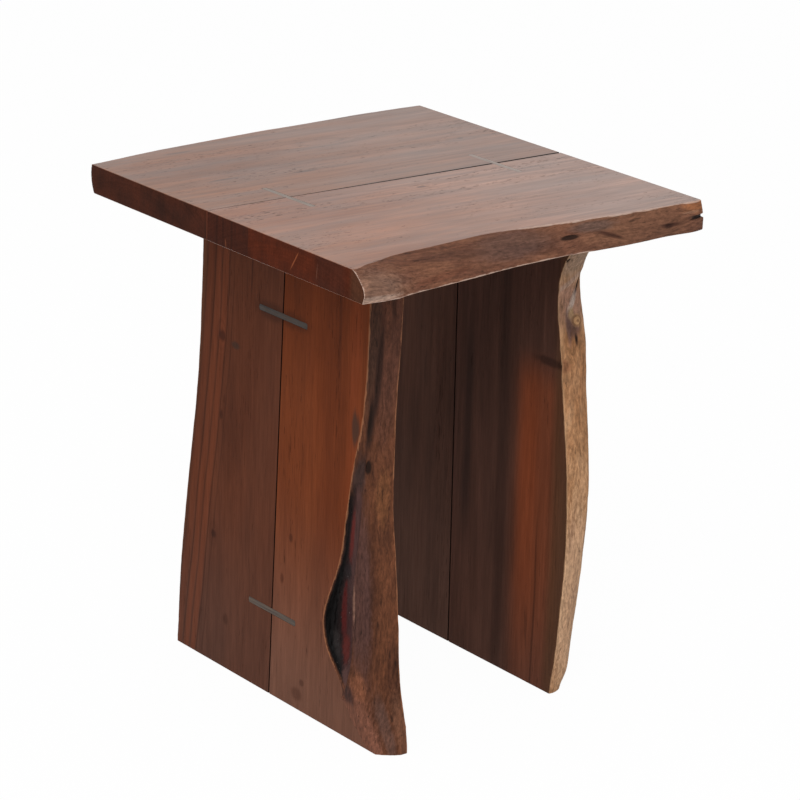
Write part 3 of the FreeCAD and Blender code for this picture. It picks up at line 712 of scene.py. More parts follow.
# %% The two planks of the right leg
RIGHT_LOOK = LEG_LOOK | {
    "smear_depth": 0.45,
    "smear_tone": tone(50, 34, 28),
}
RIGHT_BACK_LOOK = RIGHT_LOOK | {
    "seed": 43.0,
    "pith": (0.09, 0.20),
    "tones": [(0.28, tone(72, 47, 38)), (0.45, tone(88, 59, 48)), (0.6, tone(98, 67, 55)),
              (0.78, tone(78, 52, 42))],
    # Painted light: paler and greyer towards the foot, where light thrown up by the floor falls.
    "fades": [(0.28, 0.0, tone(100, 74, 64), 0.6)],
    "skin": [(0.3, tone(70, 48, 34)), (0.5, tone(120, 84, 60)), (0.72, tone(146, 108, 78))],
}
RIGHT_FRONT_LOOK = RIGHT_LOOK | {
    "seed": 57.0,
    "pith": (-0.06, 0.20),
    "tones": [(0.28, tone(66, 44, 36)), (0.45, tone(80, 54, 45)), (0.6, tone(89, 60, 50)),
              (0.78, tone(72, 48, 39))],
    "stripes": [
        (0.003, 0.003, 0.008, (0.14, 0.05, 0.33, 0.04), tone(36, 27, 25), 0.55),
        (-0.052, 0.003, 0.008, None, tone(44, 30, 26), 0.4),
        (-0.104, 0.012, 0.036, (0.02, 0.14, 0.324, 0.024), tone(126, 66, 40), 0.7),
        (-0.09, 0.004, 0.018, (0.1, 0.14, 0.305, 0.05), tone(150, 74, 42), 0.5),
        (-0.108, 0.0004, 0.0018, (-0.1, 0.1, 0.16, 0.06), tone(46, 27, 21), 0.5),
        (-0.145, 0.010, 0.016, None, tone(88, 60, 40), 0.6),
    ],
    "spots": [
        (0.336, -0.118, 0.005, 0.024, tone(38, 25, 21), 0.6),
        (0.337, -0.136, 0.006, 0.006, tone(48, 30, 24), 0.6),
    ],
    "skin": [(0.3, tone(124, 84, 56)), (0.46, tone(162, 119, 84)), (0.6, tone(184, 142, 106)),
             (0.78, tone(146, 102, 70))],
    "skin_spots": [
        (0.33, 0.116, 0.05, 0.02, tone(138, 94, 62), 0.55),
        (0.1, 0.115, 0.1, 0.03, tone(192, 158, 130), 0.5),
        (0.45, 0.113, 0.034, 0.03, tone(138, 114, 96), 0.9),
        (0.396, 0.112, 0.024, 0.024, tone(144, 110, 94), 0.85),
        (0.418, 0.1145, 0.02, 0.003, tone(160, 134, 118), 0.7, 55.0),
        (0.385, 0.104, 0.02, 0.004, tone(142, 106, 82), 0.6),
        (0.374, 0.11, 0.02, 0.0026, tone(92, 70, 66), 0.7),
        (0.399, 0.1165, 0.014, 0.0026, tone(178, 164, 154), 0.7, 25.0),
        (0.414, 0.1235, 0.014, 0.002, tone(60, 38, 34), 0.8, 22.0),
        (0.385, 0.1135, 0.008, 0.003, tone(160, 132, 94), 0.7),
        (0.3735, 0.1152, 0.0115, 0.0085, tone(84, 62, 58), 0.75),
        (0.3795, 0.1188, 0.0066, 0.0054, tone(160, 124, 90), 0.9),
        (0.336, 0.1045, 0.007, 0.005, tone(124, 80, 56), 0.7),
        (0.361, 0.1172, 0.007, 0.002, tone(44, 30, 26), 0.8),
    ],
    # Pale arris line: partly wear, partly a painted highlight.
    "arris_wear_and_glint": 0.3,
    "arris_wear_and_glint_tone": tone(200, 160, 122),
    "skin_depth": 0.85,
    "fleck_depth": 0.4,
}

# %% Build the materials
LOOKS = {
    "top_back_board": TOP_BACK_LOOK,
    "top_front_board": TOP_FRONT_LOOK,
    "left_leg_back_board": LEFT_BACK_LOOK,
    "left_leg_front_board": LEFT_FRONT_LOOK,
    "right_leg_back_board": RIGHT_BACK_LOOK,
    "right_leg_front_board": RIGHT_FRONT_LOOK,
}
joint_shade = joint_shade_material()
finishes = {}
for name, look in LOOKS.items():
    finishes[name] = {
        "Joint Shade": joint_shade,
        "Planed Wood": planed_material(name + "_planed", look),
        "Live Edge": live_material(name + "_live_edge", look),
        "Sawn End": end_material(name + "_sawn_end", look),
    }
    print(name, "finishes of", [len(finish.node_tree.nodes) for finish in finishes[name].values()], "nodes")

# %% [markdown]
# ## Reading a plank from its solid
# The solid of a plank has the right outline, but its live edge is smooth. Sculpting it would be slow and
# different every time. Instead the plank is sliced like bread, at every millimetre along its grain, and the
# wavy part of each slice is kept: the run from the corner of the lower face, round the live edge and
# through any hollow, to the corner of the upper face. All runs of a plank get the same count of points.
# Such a table of runs is easy to change, so knots, pits and cracks are added to it as numbers before any
# mesh is made.

# %% Directions of each plank
GRAIN_AXIS = {"top": 0, "left_leg": 2, "right_leg": 2}
FACE_AXIS = {"top": 2, "left_leg": 0, "right_leg": 0}
ACROSS_AXIS = 1
OUTWARD = {"back": 1.0, "front": -1.0}


def group_of(name):
    """The top or the leg that a plank belongs to, and its side."""
    return name.removesuffix("_board").rsplit("_", 1)


def directions(name):
    """Grain axis and face axis of a plank, and the sign of its live side."""
    group, side = group_of(name)
    return GRAIN_AXIS[group], FACE_AXIS[group], OUTWARD[side]


# %% Slices of a solid
MERGE_DISTANCE = 0.001 * MM


def plank_corners(name):
    """Corners (along, outward, through) and triangles of a plank's solid, with every corner once."""
    grain, face, side = directions(name)
    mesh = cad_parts[name].data
    mesh.calc_loop_triangles()
    corners = np.array([vertex.co for vertex in mesh.vertices])[:, [grain, ACROSS_AXIS, face]]
    corners = corners * (1.0, side, 1.0)
    triangles = np.array([triangle.vertices for triangle in mesh.loop_triangles])
    keys = np.round(corners / MERGE_DISTANCE).astype(np.int64)
    _, first, merged = np.unique(keys, axis=0, return_index=True, return_inverse=True)
    return corners[first], merged.reshape(-1)[triangles]


def slice_loops(corners, triangles, station):
    """Closed loops (outward, through) where a plane across the grain cuts a solid."""
    above = corners[:, 0] > station
    count = above[triangles].sum(axis=1)
    links = {}
    for triangle in triangles[(count == 1) | (count == 2)].tolist():
        pairs = zip(triangle, triangle[1:] + triangle[:1])
        one, other = [(min(pair), max(pair)) for pair in pairs if above[pair[0]] != above[pair[1]]]
        links.setdefault(one, []).append(other)
        links.setdefault(other, []).append(one)
    loops = []
    while links:
        loop = [next(iter(links))]
        ahead = links.pop(loop[0])[0]
        while ahead in links:
            loop.append(ahead)
            ahead = next((edge for edge in links.pop(ahead) if edge in links), None)
        ends = corners[np.array(loop)]
        share = (station - ends[:, 0, 0]) / (ends[:, 1, 0] - ends[:, 0, 0])
        loops.append(ends[:, 0, 1:] + share[:, None] * (ends[:, 1, 1:] - ends[:, 0, 1:]))
    return loops


def area(loop):
    """Area within a loop, negative if it runs clockwise."""
    after = np.roll(loop, -1, axis=0)
    return 0.5 * np.sum(loop[:, 0] * after[:, 1] - loop[:, 1] * after[:, 0])


# %% The run of a live edge
EDGE_DEPTH = {"left_leg_front_board": 92.0 * MM}
PLAIN_EDGE_DEPTH = 58.0 * MM
ON_FACE = 0.02 * MM
LIP_SLOPE = 1.3


def live_run(loops, low, high, depth):
    """The largest loop's part from the lower face's corner, round the live edge, to the upper corner."""
    outline = max(loops, key=lambda loop: abs(area(loop)))
    if area(outline) < 0:
        outline = outline[::-1]
    far = outline[:, 0] > outline[:, 0].max() - depth
    start = np.flatnonzero(far & ~np.roll(far, 1))[0]
    chain = np.roll(outline, -start, axis=0)[:far.sum()]
    leaves_low = np.flatnonzero(chain[:, 1] > low + ON_FACE)[0]
    meets_high = np.flatnonzero(chain[:, 1] < high - ON_FACE)[-1] + 1
    return chain[max(leaves_low - 1, 0):meets_high + 1]


def eased(places, stations):
    """Draws places in, so that from one station to the next they never jump."""
    return (places[None, :] + LIP_SLOPE * np.abs(stations[:, None] - stations[None, :])).min(axis=1)


def even_points(chain, count):
    """The same run with evenly spaced points."""
    lengths = np.concatenate([[0.0], np.cumsum(np.hypot(*np.diff(chain, axis=0).T))])
    at = np.linspace(0.0, lengths[-1], count)
    return np.column_stack([np.interp(at, lengths, chain[:, 0]), np.interp(at, lengths, chain[:, 1])])


# %% Reading one plank
STATION_STEP = 1.0 * MM
RUN_STEP = 0.72 * MM
END_CHAMFER = 0.4 * MM
INSIDE = 0.02 * MM


def read_plank(name):
    """Stations along a plank, the run of its live edge at each, and where its joint lies there."""
    corners, triangles = plank_corners(name)
    low, high = corners.min(axis=0), corners.max(axis=0)
    steps = round((high[0] - low[0]) / STATION_STEP)
    between = np.linspace(low[0] + END_CHAMFER, high[0] - END_CHAMFER, steps)
    stations = np.concatenate([[low[0]], between, [high[0]]])
    depth = EDGE_DEPTH.get(name, PLAIN_EDGE_DEPTH)
    chains = [live_run(slice_loops(corners, triangles, station), low[2], high[2], depth)
              for station in np.clip(stations, low[0] + INSIDE, high[0] - INSIDE)]
    starts = eased(np.array([chain[0, 0] for chain in chains]), stations)
    stops = eased(np.array([chain[-1, 0] for chain in chains]), stations)
    chains = [np.concatenate([[(start, low[2])], chain, [(stop, high[2])]])
              for start, chain, stop in zip(starts, chains, stops)]
    longest = max(np.hypot(*np.diff(chain, axis=0).T).sum() for chain in chains)
    runs = np.array([even_points(chain, round(longest / RUN_STEP)) for chain in chains])
    at_ends = [corners[np.abs(corners[:, 0] - end) < INSIDE, 1].min() for end in (low[0], high[0])]
    return stations, runs, np.interp(stations, [low[0], high[0]], at_ends)


# %% How deep a place lies in a hollow
HOLLOW_DEPTH = 10.0 * MM


def cross(first, second):
    """How far second turns from first, positive to the left."""
    return first[..., 0] * second[..., 1] - first[..., 1] * second[..., 0]


def hollow_of(runs):
    """Depth of each point under the tightest band round its run, and its way from lip to lip, 0 to 1."""
    depth = np.zeros(runs.shape[:2])
    crossing = np.zeros(runs.shape[:2])
    for row, run in enumerate(runs):
        band = [0]
        for point in range(1, len(run)):
            while len(band) > 1 and cross(run[band[-1]] - run[band[-2]], run[point] - run[band[-1]]) <= 0:
                band.pop()
            band.append(point)
        for first, last in zip(band, band[1:]):
            chord = run[last] - run[first]
            inner = slice(first, last + 1)
            depth[row, inner] = cross(chord, run[inner] - run[first]) / np.hypot(*chord)
            crossing[row, inner] = np.linspace(0.0, 1.0, last - first + 1)
    return np.clip(depth / HOLLOW_DEPTH, 0.0, 1.0), crossing


# %% [markdown]
# ## Knots, pits and small cracks on the live edges
# A branch leaves a round boss with rings in it, a beetle or a broken twig leaves a small hole, and drying
# opens short cracks. Each is a soft hill or dent in the table of runs, with its place along the grain and
# through the plank, its radii, its height in millimetres and its lean in degrees.

# %% The marks of each live edge
EDGE_MARKS = {
    "right_leg_front_board": [
        (372.0, 115.8, 6.0, 3.2, -1.0, -20.0),
        (361.5, 117.2, 5.0, 1.4, -1.6, 0.0),
        (398.0, 116.5, 13.0, 2.2, 1.2, 25.0),
        (414.0, 124.0, 12.0, 1.4, -1.6, 22.0),
        (418.0, 114.5, 17.0, 3.4, 1.8, 55.0),
        (403.0, 110.0, 10.0, 5.0, -1.2, 30.0),
        (378.0, 110.5, 14.0, 1.6, -0.9, 0.0),
        (440.2, 104.5, 3.0, 1.6, -3.0, 15.0),
        (433.0, 128.0, 9.0, 7.0, 1.5, 0.0),
        (0.0, 129.0, 13.0, 10.0, -7.0, 0.0),
        (336.0, 104.0, 6.0, 4.0, 1.2, 0.0),
    ],
    "left_leg_front_board": [
        (273.8, -118.0, 8.5, 2.2, -4.5, 0.0),
        (273.8, -118.0, 12.0, 5.5, 1.8, 0.0),
        (320.0, -120.5, 24.0, 1.4, -1.6, 0.0),
        (360.0, -117.0, 30.0, 1.2, -1.0, 1.5),
        (410.0, -116.0, 34.0, 1.2, -0.6, 1.5),
        (440.0, -107.0, 22.0, 1.2, -0.6, 0.0),
        (345.0, -112.5, 18.0, 1.2, -0.6, 0.0),
        (85.0, -101.5, 6.0, 1.6, -1.2, 0.0),
        (33.0, -108.0, 6.0, 2.0, -1.2, 0.0),
        (26.0, -99.0, 14.0, 8.0, -2.5, 0.0),
    ],
    "top_front_board": [
        (47.7, 487.3, 13.0, 2.6, -3.0, 0.0),
        (47.7, 487.3, 17.0, 5.5, 1.0, 0.0),
        (93.0, 484.2, 13.0, 1.2, -1.1, -18.0),
        (167.0, 482.8, 11.0, 1.3, -1.2, 0.0),
        (-191.0, 500.0, 14.0, 9.0, -7.0, 0.0),
        (-207.0, 472.0, 14.0, 6.0, -2.5, 0.0),
    ],
}
RING_KNOTS = {"right_leg_front_board": [(379.2, 118.5, 7.5, 2.2)]}
RING_RELIEF = 0.3 * MM
RING_RISE = 4.0
BOSS_SPREAD = 0.8
NARROW_MARK = 3.5
FULL_PIT = 2.0


def add_marks(name, stations, runs, hollow):
    """Adds hills, dents and knots to the runs. Returns where the narrow dents and the knots are."""
    pit = np.zeros(runs.shape[:2])
    knot = np.zeros(runs.shape[:2])
    for along, through, long_radius, short_radius, height, lean in EDGE_MARKS.get(name, []):
        cosine, sine = math.cos(math.radians(lean)), math.sin(math.radians(lean))
        first, second = stations[:, None] / MM - along, runs[:, :, 1] / MM - through
        squares = ((cosine * first + sine * second) / long_radius) ** 2
        squares = squares + ((cosine * second - sine * first) / short_radius) ** 2
        shape = np.exp(-squares) * (1.0 - hollow)
        runs[:, :, 0] += height * MM * shape
        # Narrow dents are marked in pit, where their shade is painted.
        if height < 0 and short_radius < NARROW_MARK:
            np.maximum(pit, shape * min(1.0, -height / FULL_PIT), out=pit)
    for along, through, radius, height in RING_KNOTS.get(name, []):
        away = np.hypot(stations[:, None] / MM - along, runs[:, :, 1] / MM - through) / radius
        here = np.clip(1.0 - away, 0.0, 1.0)
        runs[:, :, 0] += height * MM * np.exp(-(away / BOSS_SPREAD) ** 2)
        rings = np.sin(math.tau * RINGS_IN_KNOT * here)
        runs[:, :, 0] += RING_RELIEF * rings * np.minimum(1.0, here * RING_RISE)
        np.maximum(knot, here, out=knot)
    return pit, knot


# %% [markdown]
# ## A plank as a row of sections
# With the runs at hand, a plank is a row of closed sections, one at each station: out along the lower face,
# round the live edge, back along the upper face and down the joint. Sections of equal count join into a
# clean grid of four-sided faces, and the first and last ones, a little smaller, give the sawn ends their
# fine bevel.

# %% One section
JOINT_CHAMFER = 0.12 * MM
FACE_STEPS = np.array([0.5, 1.1, 2.0, 3.4, 5.5, 9.0, 16.0]) * MM
FACE_PARTS = np.array([0.0, 0.24, 0.48, 0.72])
FACE_COUNT = len(FACE_STEPS) + len(FACE_PARTS)
INNER_COUNT = 3
ARRIS_ROUNDS = 3
WORN_ROUNDS = 40
WORN_FOOT = {"left_leg_front_board": 36.0 * MM}
WORN_FADE = 12.0 * MM
LEAST_REACH = 3
ROUNDS_FOR_ONE_MORE = 8


def low_rounds(name, stations):
    """How often the lower corner of each section is softened: most at a worn foot."""
    wear_and_glint = np.clip((WORN_FOOT.get(name, stations[0]) - stations) / WORN_FADE, 0.0, 1.0)
    return (ARRIS_ROUNDS + (WORN_ROUNDS - ARRIS_ROUNDS) * wear_and_glint).astype(int)


def face_run(level, arris, joint):
    """Points across a flat face, from the joint to just before the live edge."""
    first = joint + JOINT_CHAMFER
    coarse = first + (arris - FACE_STEPS[-1] - first) * FACE_PARTS
    across = np.concatenate([coarse, arris - FACE_STEPS[::-1]])
    return np.column_stack([across, np.full(len(across), level)])


def section(run, joint, rounds):
    """Points (outward, through) round a plank at one station, with its two corners softened."""
    bottom, top = run[0, 1], run[-1, 1]
    lower = face_run(bottom, run[0, 0], joint)
    upper = face_run(top, run[-1, 0], joint)[::-1]
    inner = [(joint, top - JOINT_CHAMFER), (joint, (bottom + top) / 2), (joint, bottom + JOINT_CHAMFER)]
    ring = np.concatenate([lower, run, upper, inner])
    for corner, count in ((FACE_COUNT, rounds), (FACE_COUNT + len(run) - 1, ARRIS_ROUNDS)):
        reach = LEAST_REACH + count // ROUNDS_FOR_ONE_MORE
        near = np.arange(corner - reach, corner + reach + 1)
        for _ in range(count):
            ring[near] = 0.25 * ring[near - 1] + 0.5 * ring[near] + 0.25 * ring[near + 1]
    return ring


# %% Zones of a section
WANE_FADE = 7.0 * MM
ARRIS_WIDTH = 2.3 * MM
FACE_ARRIS_WIDTH = 1.3 * MM
END_ARRIS_WIDTH = 0.9 * MM
ARRIS_FADE = 30.0 * MM
WHOLE_RUN = (-1.0, 1.0)
# Where along a plank an arris carries its pale line, partly wear and partly a painted highlight.
ARRIS_RUN = {
    ("top_front_board", "high"): (-35.0 * MM, 1.0),
    ("top_front_board", "low"): (-1.0, 90.0 * MM),
    ("left_leg_front_board", "low"): (45.0 * MM, 1.0),
}
JOINT, PLANED, LIVE, END = range(4)


def closeness(distance, width):
    """1 at no distance, falling to 0 at the width."""
    return np.clip(1.0 - distance / width, 0.0, 1.0)


def pale_line_share(name, side, stations):
    """How much of the pale line, wear and painted highlight, an arris has: none before its start or after
    its end.
    """
    start, stop = ARRIS_RUN.get((name, side), WHOLE_RUN)
    return np.clip(np.minimum(stations - start, stop - stations) / ARRIS_FADE, 0.0, 1.0)[:, None]


def zones_round(name, stations, runs, tables):
    """Attributes of the points round every section, and the zone of the faces between them."""
    rows, count = runs.shape[:2]
    from_arris = np.tile(np.concatenate([np.ones(len(FACE_PARTS)), FACE_STEPS[::-1]]), (rows, 1))
    step = np.hypot(*np.moveaxis(np.diff(runs, axis=1), 2, 0)).mean(axis=1)
    from_low = step[:, None] * np.arange(count)
    from_end = np.tile(np.minimum(stations - stations[0], stations[-1] - stations)[:, None], count)
    low, high = pale_line_share(name, "low", stations), pale_line_share(name, "high", stations)

    def around(lower, run, upper):
        return np.concatenate([lower, run, upper[:, ::-1], np.zeros((rows, INNER_COUNT))], axis=1)

    blank = np.zeros((rows, FACE_COUNT))
    zones = {key: around(blank, table, blank) for key, table in tables.items()}
    fade = closeness(from_arris, WANE_FADE)
    zones["wane"] = around(fade, np.ones((rows, count)), fade)
    # The pale line runs along the live edge's corners and the sawn ends: partly wear, partly a painted
    # highlight.
    on_face = closeness(from_arris, FACE_ARRIS_WIDTH)
    on_run = low * closeness(from_low, ARRIS_WIDTH)
    on_run = np.maximum(on_run, high * closeness(from_low[:, ::-1], ARRIS_WIDTH))
    on_run = np.maximum(on_run, closeness(from_end, END_ARRIS_WIDTH))
    zones["arris"] = around(low * on_face, on_run, high * on_face)
    sides = np.repeat([PLANED, LIVE, PLANED, JOINT], [FACE_COUNT, count - 1, FACE_COUNT, INNER_COUNT + 1])
    return zones, sides


# %% The mesh of a plank
def plank_mesh(name, stations, runs, joint, tables):
    """Joins the sections of a plank into one closed mesh with its zones."""
    grain, face, side = directions(name)
    rings = np.array([section(*parts) for parts in zip(runs, joint, low_rounds(name, stations))])
    for last in (0, -1):
        middle = (rings[last].max(axis=0) + rings[last].min(axis=0)) / 2
        half = (rings[last].max(axis=0) - rings[last].min(axis=0)) / 2
        rings[last] = middle + (rings[last] - middle) * (1.0 - END_CHAMFER / half)
    count, around = rings.shape[:2]
    places = np.empty((count, around, 3))
    places[:, :, grain] = stations[:, None]
    places[:, :, ACROSS_AXIS] = side * rings[:, :, 0]
    places[:, :, face] = rings[:, :, 1]
    index = np.arange(count * around).reshape(count, around)
    after = np.roll(index, -1, axis=1)
    quads = np.stack([index[:-1], after[:-1], after[1:], index[1:]], axis=-1).reshape(-1, 4)
    ends = [index[0].tolist(), index[-1].tolist()]
    mesh = bpy.data.meshes.new(name + "_dressed")
    mesh.from_pydata(places.reshape(-1, 3).tolist(), [], quads.tolist() + ends)
    zones, sides = zones_round(name, stations, runs, tables)
    for key, values in zones.items():
        attribute = mesh.attributes.new(key, "FLOAT", "POINT")
        attribute.data.foreach_set("value", values.ravel().astype(np.float32))
    by_face = np.concatenate([np.tile(sides, count - 1), [END, END]])
    mesh.attributes.new("zone", "INT", "FACE").data.foreach_set("value", by_face.astype(np.int32))
    work = bmesh.new()
    work.from_mesh(mesh)
    bmesh.ops.recalc_face_normals(work, faces=work.faces)
    work.to_mesh(mesh)
    work.free()
    return mesh


# %% [markdown]
# ## Slots for the keys and holes for the dowels
# The bars across the joints are let into the planks, and dowels hold the planks together inside. A plank
# needs a slot round each of them, or two faces would lie in one plane and flicker. The cutters are copies
# of the solids themselves, grown by a hair, so that a thin dark line shows round every bar as on the real
# table.

# %% Cutters from the keys and dowels
SLOT_CLEARANCE = 0.2 * MM
key_names = [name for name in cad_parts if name.endswith("_key")]
dowel_names = [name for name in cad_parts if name.endswith("_dowel")]


def cutter_object():
    """One mesh of all keys and dowels, each grown by the clearance."""
    points, faces = [], []
    for name in key_names + dowel_names:
        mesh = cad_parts[name].data
        faces += [[len(points) + corner for corner in polygon.vertices] for polygon in mesh.polygons]
        points += [tuple(vertex.co) for vertex in mesh.vertices]
    mesh = bpy.data.meshes.new("slot_cutter")
    mesh.from_pydata(points, [], faces)
    work = bmesh.new()
    work.from_mesh(mesh)
    bmesh.ops.remove_doubles(work, verts=work.verts, dist=MERGE_DISTANCE)
    work.normal_update()
    moves = [vertex.normal * vertex.calc_shell_factor() * SLOT_CLEARANCE for vertex in work.verts]
    for vertex, move in zip(work.verts, moves):
        vertex.co += move
    work.to_mesh(mesh)
    work.free()
    return bpy.data.objects.new("slot_cutter", mesh)


cutter = cutter_object()
scene.collection.objects.link(cutter)
print("cutter of", len(key_names), "keys and", len(dowel_names), "dowels")

# %% A plain mesh from an object and its modifiers
def settle(piece):
    """Turns what the modifiers show into the piece's own mesh and removes them."""
    depsgraph = bpy.context.evaluated_depsgraph_get()
    result = bpy.data.meshes.new_from_object(piece.evaluated_get(depsgraph), depsgraph=depsgraph)
    piece.modifiers.clear()
    piece.data = result


def cut_slots(piece):
    """Cuts the slots and holes out of a plank."""
    cut = piece.modifiers.new("slots", "BOOLEAN")
    cut.operation = "DIFFERENCE"
    cut.solver = "EXACT"
    cut.object = cutter
    settle(piece)


# %% [markdown]
# ## Roughness of the live edge
# A live edge is never smooth: ripples as long as a finger, fine ridges of fibre, and a torn surface in the
# hollow. This follows a rule, so Geometry Nodes do it: noise that is stretched along the grain moves each
# point outwards or inwards, as far as its wane says. In a hollow the points move along the surface's own
# normal, because its walls look in every direction. Faces and joints have no wane and stay flat. At the end
# of the tree each zone of the plank gets its finish.

# %% The tree that roughens a live edge
RIPPLE_DETAIL = 3.0
FIBRE_DETAIL = 2.0
WANE_POWER = 4.0
ZONE_FINISH = {JOINT: "Joint Shade", PLANED: "Planed Wood", LIVE: "Live Edge", END: "Sawn End"}
TREE_INPUTS = {
    "Geometry": ["Geometry"],
    "Vector": ["Outward", "Ripple Count", "Fibre Count"],
    "Float": ["Ripple Depth", "Fibre Depth", "Torn Depth", "Seed"],
    "Material": list(ZONE_FINISH.values()),
}


def live_edge_tree():
    """Moves points by stretched noise, by wane and hollow, and sets the finish of each zone."""
    tree = bpy.data.node_groups.new("live_edge_skin", "GeometryNodeTree")
    for kind, names in TREE_INPUTS.items():
        for name in names:
            tree.interface.new_socket(name, in_out="INPUT", socket_type="NodeSocket" + kind)
    tree.interface.new_socket("Geometry", in_out="OUTPUT", socket_type="NodeSocketGeometry")
    given = add(tree, "NodeGroupInput").outputs
    place = add(tree, "GeometryNodeInputPosition").outputs[0]
    normal = add(tree, "GeometryNodeInputNormal").outputs[0]

    def attribute(name, kind="FLOAT"):
        return add(tree, "GeometryNodeInputNamedAttribute", {"Name": name}, data_type=kind).outputs[0]

    def centred_noise(count, detail):
        counted = vector(tree, "MULTIPLY", place, count)
        inputs = {"Vector": counted, "W": given["Seed"], "Scale": 1.0, "Detail": detail}
        value = add(tree, "ShaderNodeTexNoise", inputs, noise_dimensions="4D").outputs[0]
        return calc(tree, "MULTIPLY", calc(tree, "SUBTRACT", value, 0.5), 2.0)

    def moved_along(way, distance):
        inputs = {0: way, "Scale": distance}
        return add(tree, "ShaderNodeVectorMath", inputs, operation="SCALE").outputs["Vector"]

    hollow = attribute("hollow")
    ripple = centred_noise(given["Ripple Count"], RIPPLE_DETAIL)
    ripple = calc(tree, "MULTIPLY", ripple, given["Ripple Depth"])
    fibre = centred_noise(given["Fibre Count"], FIBRE_DETAIL)
    reach = calc(tree, "POWER", attribute("wane"), WANE_POWER)
    skin = calc(tree, "MULTIPLY_ADD", fibre, given["Fibre Depth"], ripple)
    skin = calc(tree, "MULTIPLY", skin, calc(tree, "MULTIPLY", reach, calc(tree, "SUBTRACT", 1.0, hollow)))
    torn = calc(tree, "MULTIPLY", calc(tree, "MULTIPLY", fibre, given["Torn Depth"]), hollow)
    move = vector(tree, "ADD", moved_along(given["Outward"], skin), moved_along(normal, torn))
    shape = add(tree, "GeometryNodeSetPosition", {"Geometry": given["Geometry"], "Offset": move}).outputs[0]
    shape = add(tree, "GeometryNodeRealizeInstances", {0: shape}).outputs[0]
    for zone, finish in ZONE_FINISH.items():
        inputs = {2: attribute("zone", "INT"), 3: zone}
        here = add(tree, "FunctionNodeCompare", inputs, data_type="INT", operation="EQUAL").outputs[0]
        inputs = {"Geometry": shape, "Selection": here, "Material": given[finish]}
        shape = add(tree, "GeometryNodeSetMaterial", inputs).outputs[0]
    add(tree, "NodeGroupOutput", {0: shape})
    return tree


skin_tree = live_edge_tree()
print("live edge tree:", len(skin_tree.nodes), "nodes")

# %% Using the tree on a plank
RIPPLE_LENGTH, RIPPLE_WIDTH, RIPPLE_DEPTH = 28.0 * MM, 10.0 * MM, 1.0 * MM
FIBRE_LENGTH, FIBRE_WIDTH, FIBRE_DEPTH = 10.0 * MM, 2.4 * MM, 0.4 * MM
TORN_DEPTH = 1.6 * MM


def roughen(piece, name):
    """Runs the live edge tree on a plank and keeps the result as its mesh."""
    grain, _, side = directions(name)

    def counts(length, width):
        return [1.0 / (length if axis == grain else width) for axis in range(3)]

    modifier = piece.modifiers.new("live edge", "NODES")
    modifier.node_group = skin_tree
    values = finishes[name] | {
        "Outward": (0.0, side, 0.0),
        "Ripple Count": counts(RIPPLE_LENGTH, RIPPLE_WIDTH),
        "Fibre Count": counts(FIBRE_LENGTH, FIBRE_WIDTH),
        "Ripple Depth": RIPPLE_DEPTH,
        "Fibre Depth": FIBRE_DEPTH,
        "Torn Depth": TORN_DEPTH,
        "Seed": LOOKS[name]["seed"],
    }
    for item in skin_tree.interface.items_tree:
        if item.in_out == "INPUT" and item.name in values:
            modifier[item.identifier] = values[item.name]
    settle(piece)


# %% Dress the six planks
SHARP_ANGLE = math.radians(40)
for name in LOOKS:
    stations, runs, joint = read_plank(name)
    hollow, crossing = hollow_of(runs)
    pit, knot = add_marks(name, stations, runs, hollow)
    tables = {"hollow": hollow, "crossing": crossing, "pit": pit, "knot": knot}
    piece = bpy.data.objects.new(name + "_dressed", plank_mesh(name, stations, runs, joint, tables))
    scene.collection.objects.link(piece)
    cut_slots(piece)
    roughen(piece, name)
    piece.data.shade_smooth()
    piece.data.set_sharp_from_angle(angle=SHARP_ANGLE)
    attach(piece, "root")
    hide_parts(name)
    print(piece.name, len(piece.data.vertices), "points,", len(piece.data.polygons), "faces")
bpy.data.objects.remove(cutter)

# %% [markdown]
# ## Keys and dowels
# The bars and the dowels already have their right shape in the solids, so they stay, and only get a finish:
# a greyed, hard wood with its own fine grain along the bar, and plain dark wood for the hidden dowels. The
# bars of the top are painted paler than those of the legs, the right one most: partly their own grey, partly
# a painted sheen like the one the top takes from the light of the room.

# %% Grey-brown wood of the keys
BAR_FIBRE_COUNTS = (520.0, 28.0, 520.0)
BAR_WEAR_COUNTS = (90.0, 90.0, 90.0)
BAR_GLOSS = 0.3
TOP_ROUGH, LEG_ROUGH, DOWEL_ROUGH = 0.45, 0.55, 0.6


def bar_material(name, roughness, dark, base, light):
    """Fine straight grain along the bar, which lies across the table, with grey wear."""
    material, tree, shader = new_material(name)
    place = add(tree, "ShaderNodeTexCoord").outputs["Object"]
    fibre = counted_noise(tree, place, BAR_FIBRE_COUNTS, 4.0, 0.6)
    colour = colour_ramp(tree, fibre, [(0.3, tone(*dark)), (0.5, tone(*base)), (0.7, tone(*light))])
    wear = counted_noise(tree, place, BAR_WEAR_COUNTS, 3.0, 0.6)
    colour = shade(tree, colour, wear, 0.8, 1.12)
    tree.links.new(colour, shader.inputs["Base Color"])
    satin = soft_step(tree, wear, 0.3, 0.7, roughness - 0.08, roughness + 0.08)
    tree.links.new(satin, shader.inputs["Roughness"])
    shader.inputs["Specular IOR Level"].default_value = BAR_GLOSS
    set_bump(tree, shader, fibre, 0.2 * MM, 0.25)
    return material


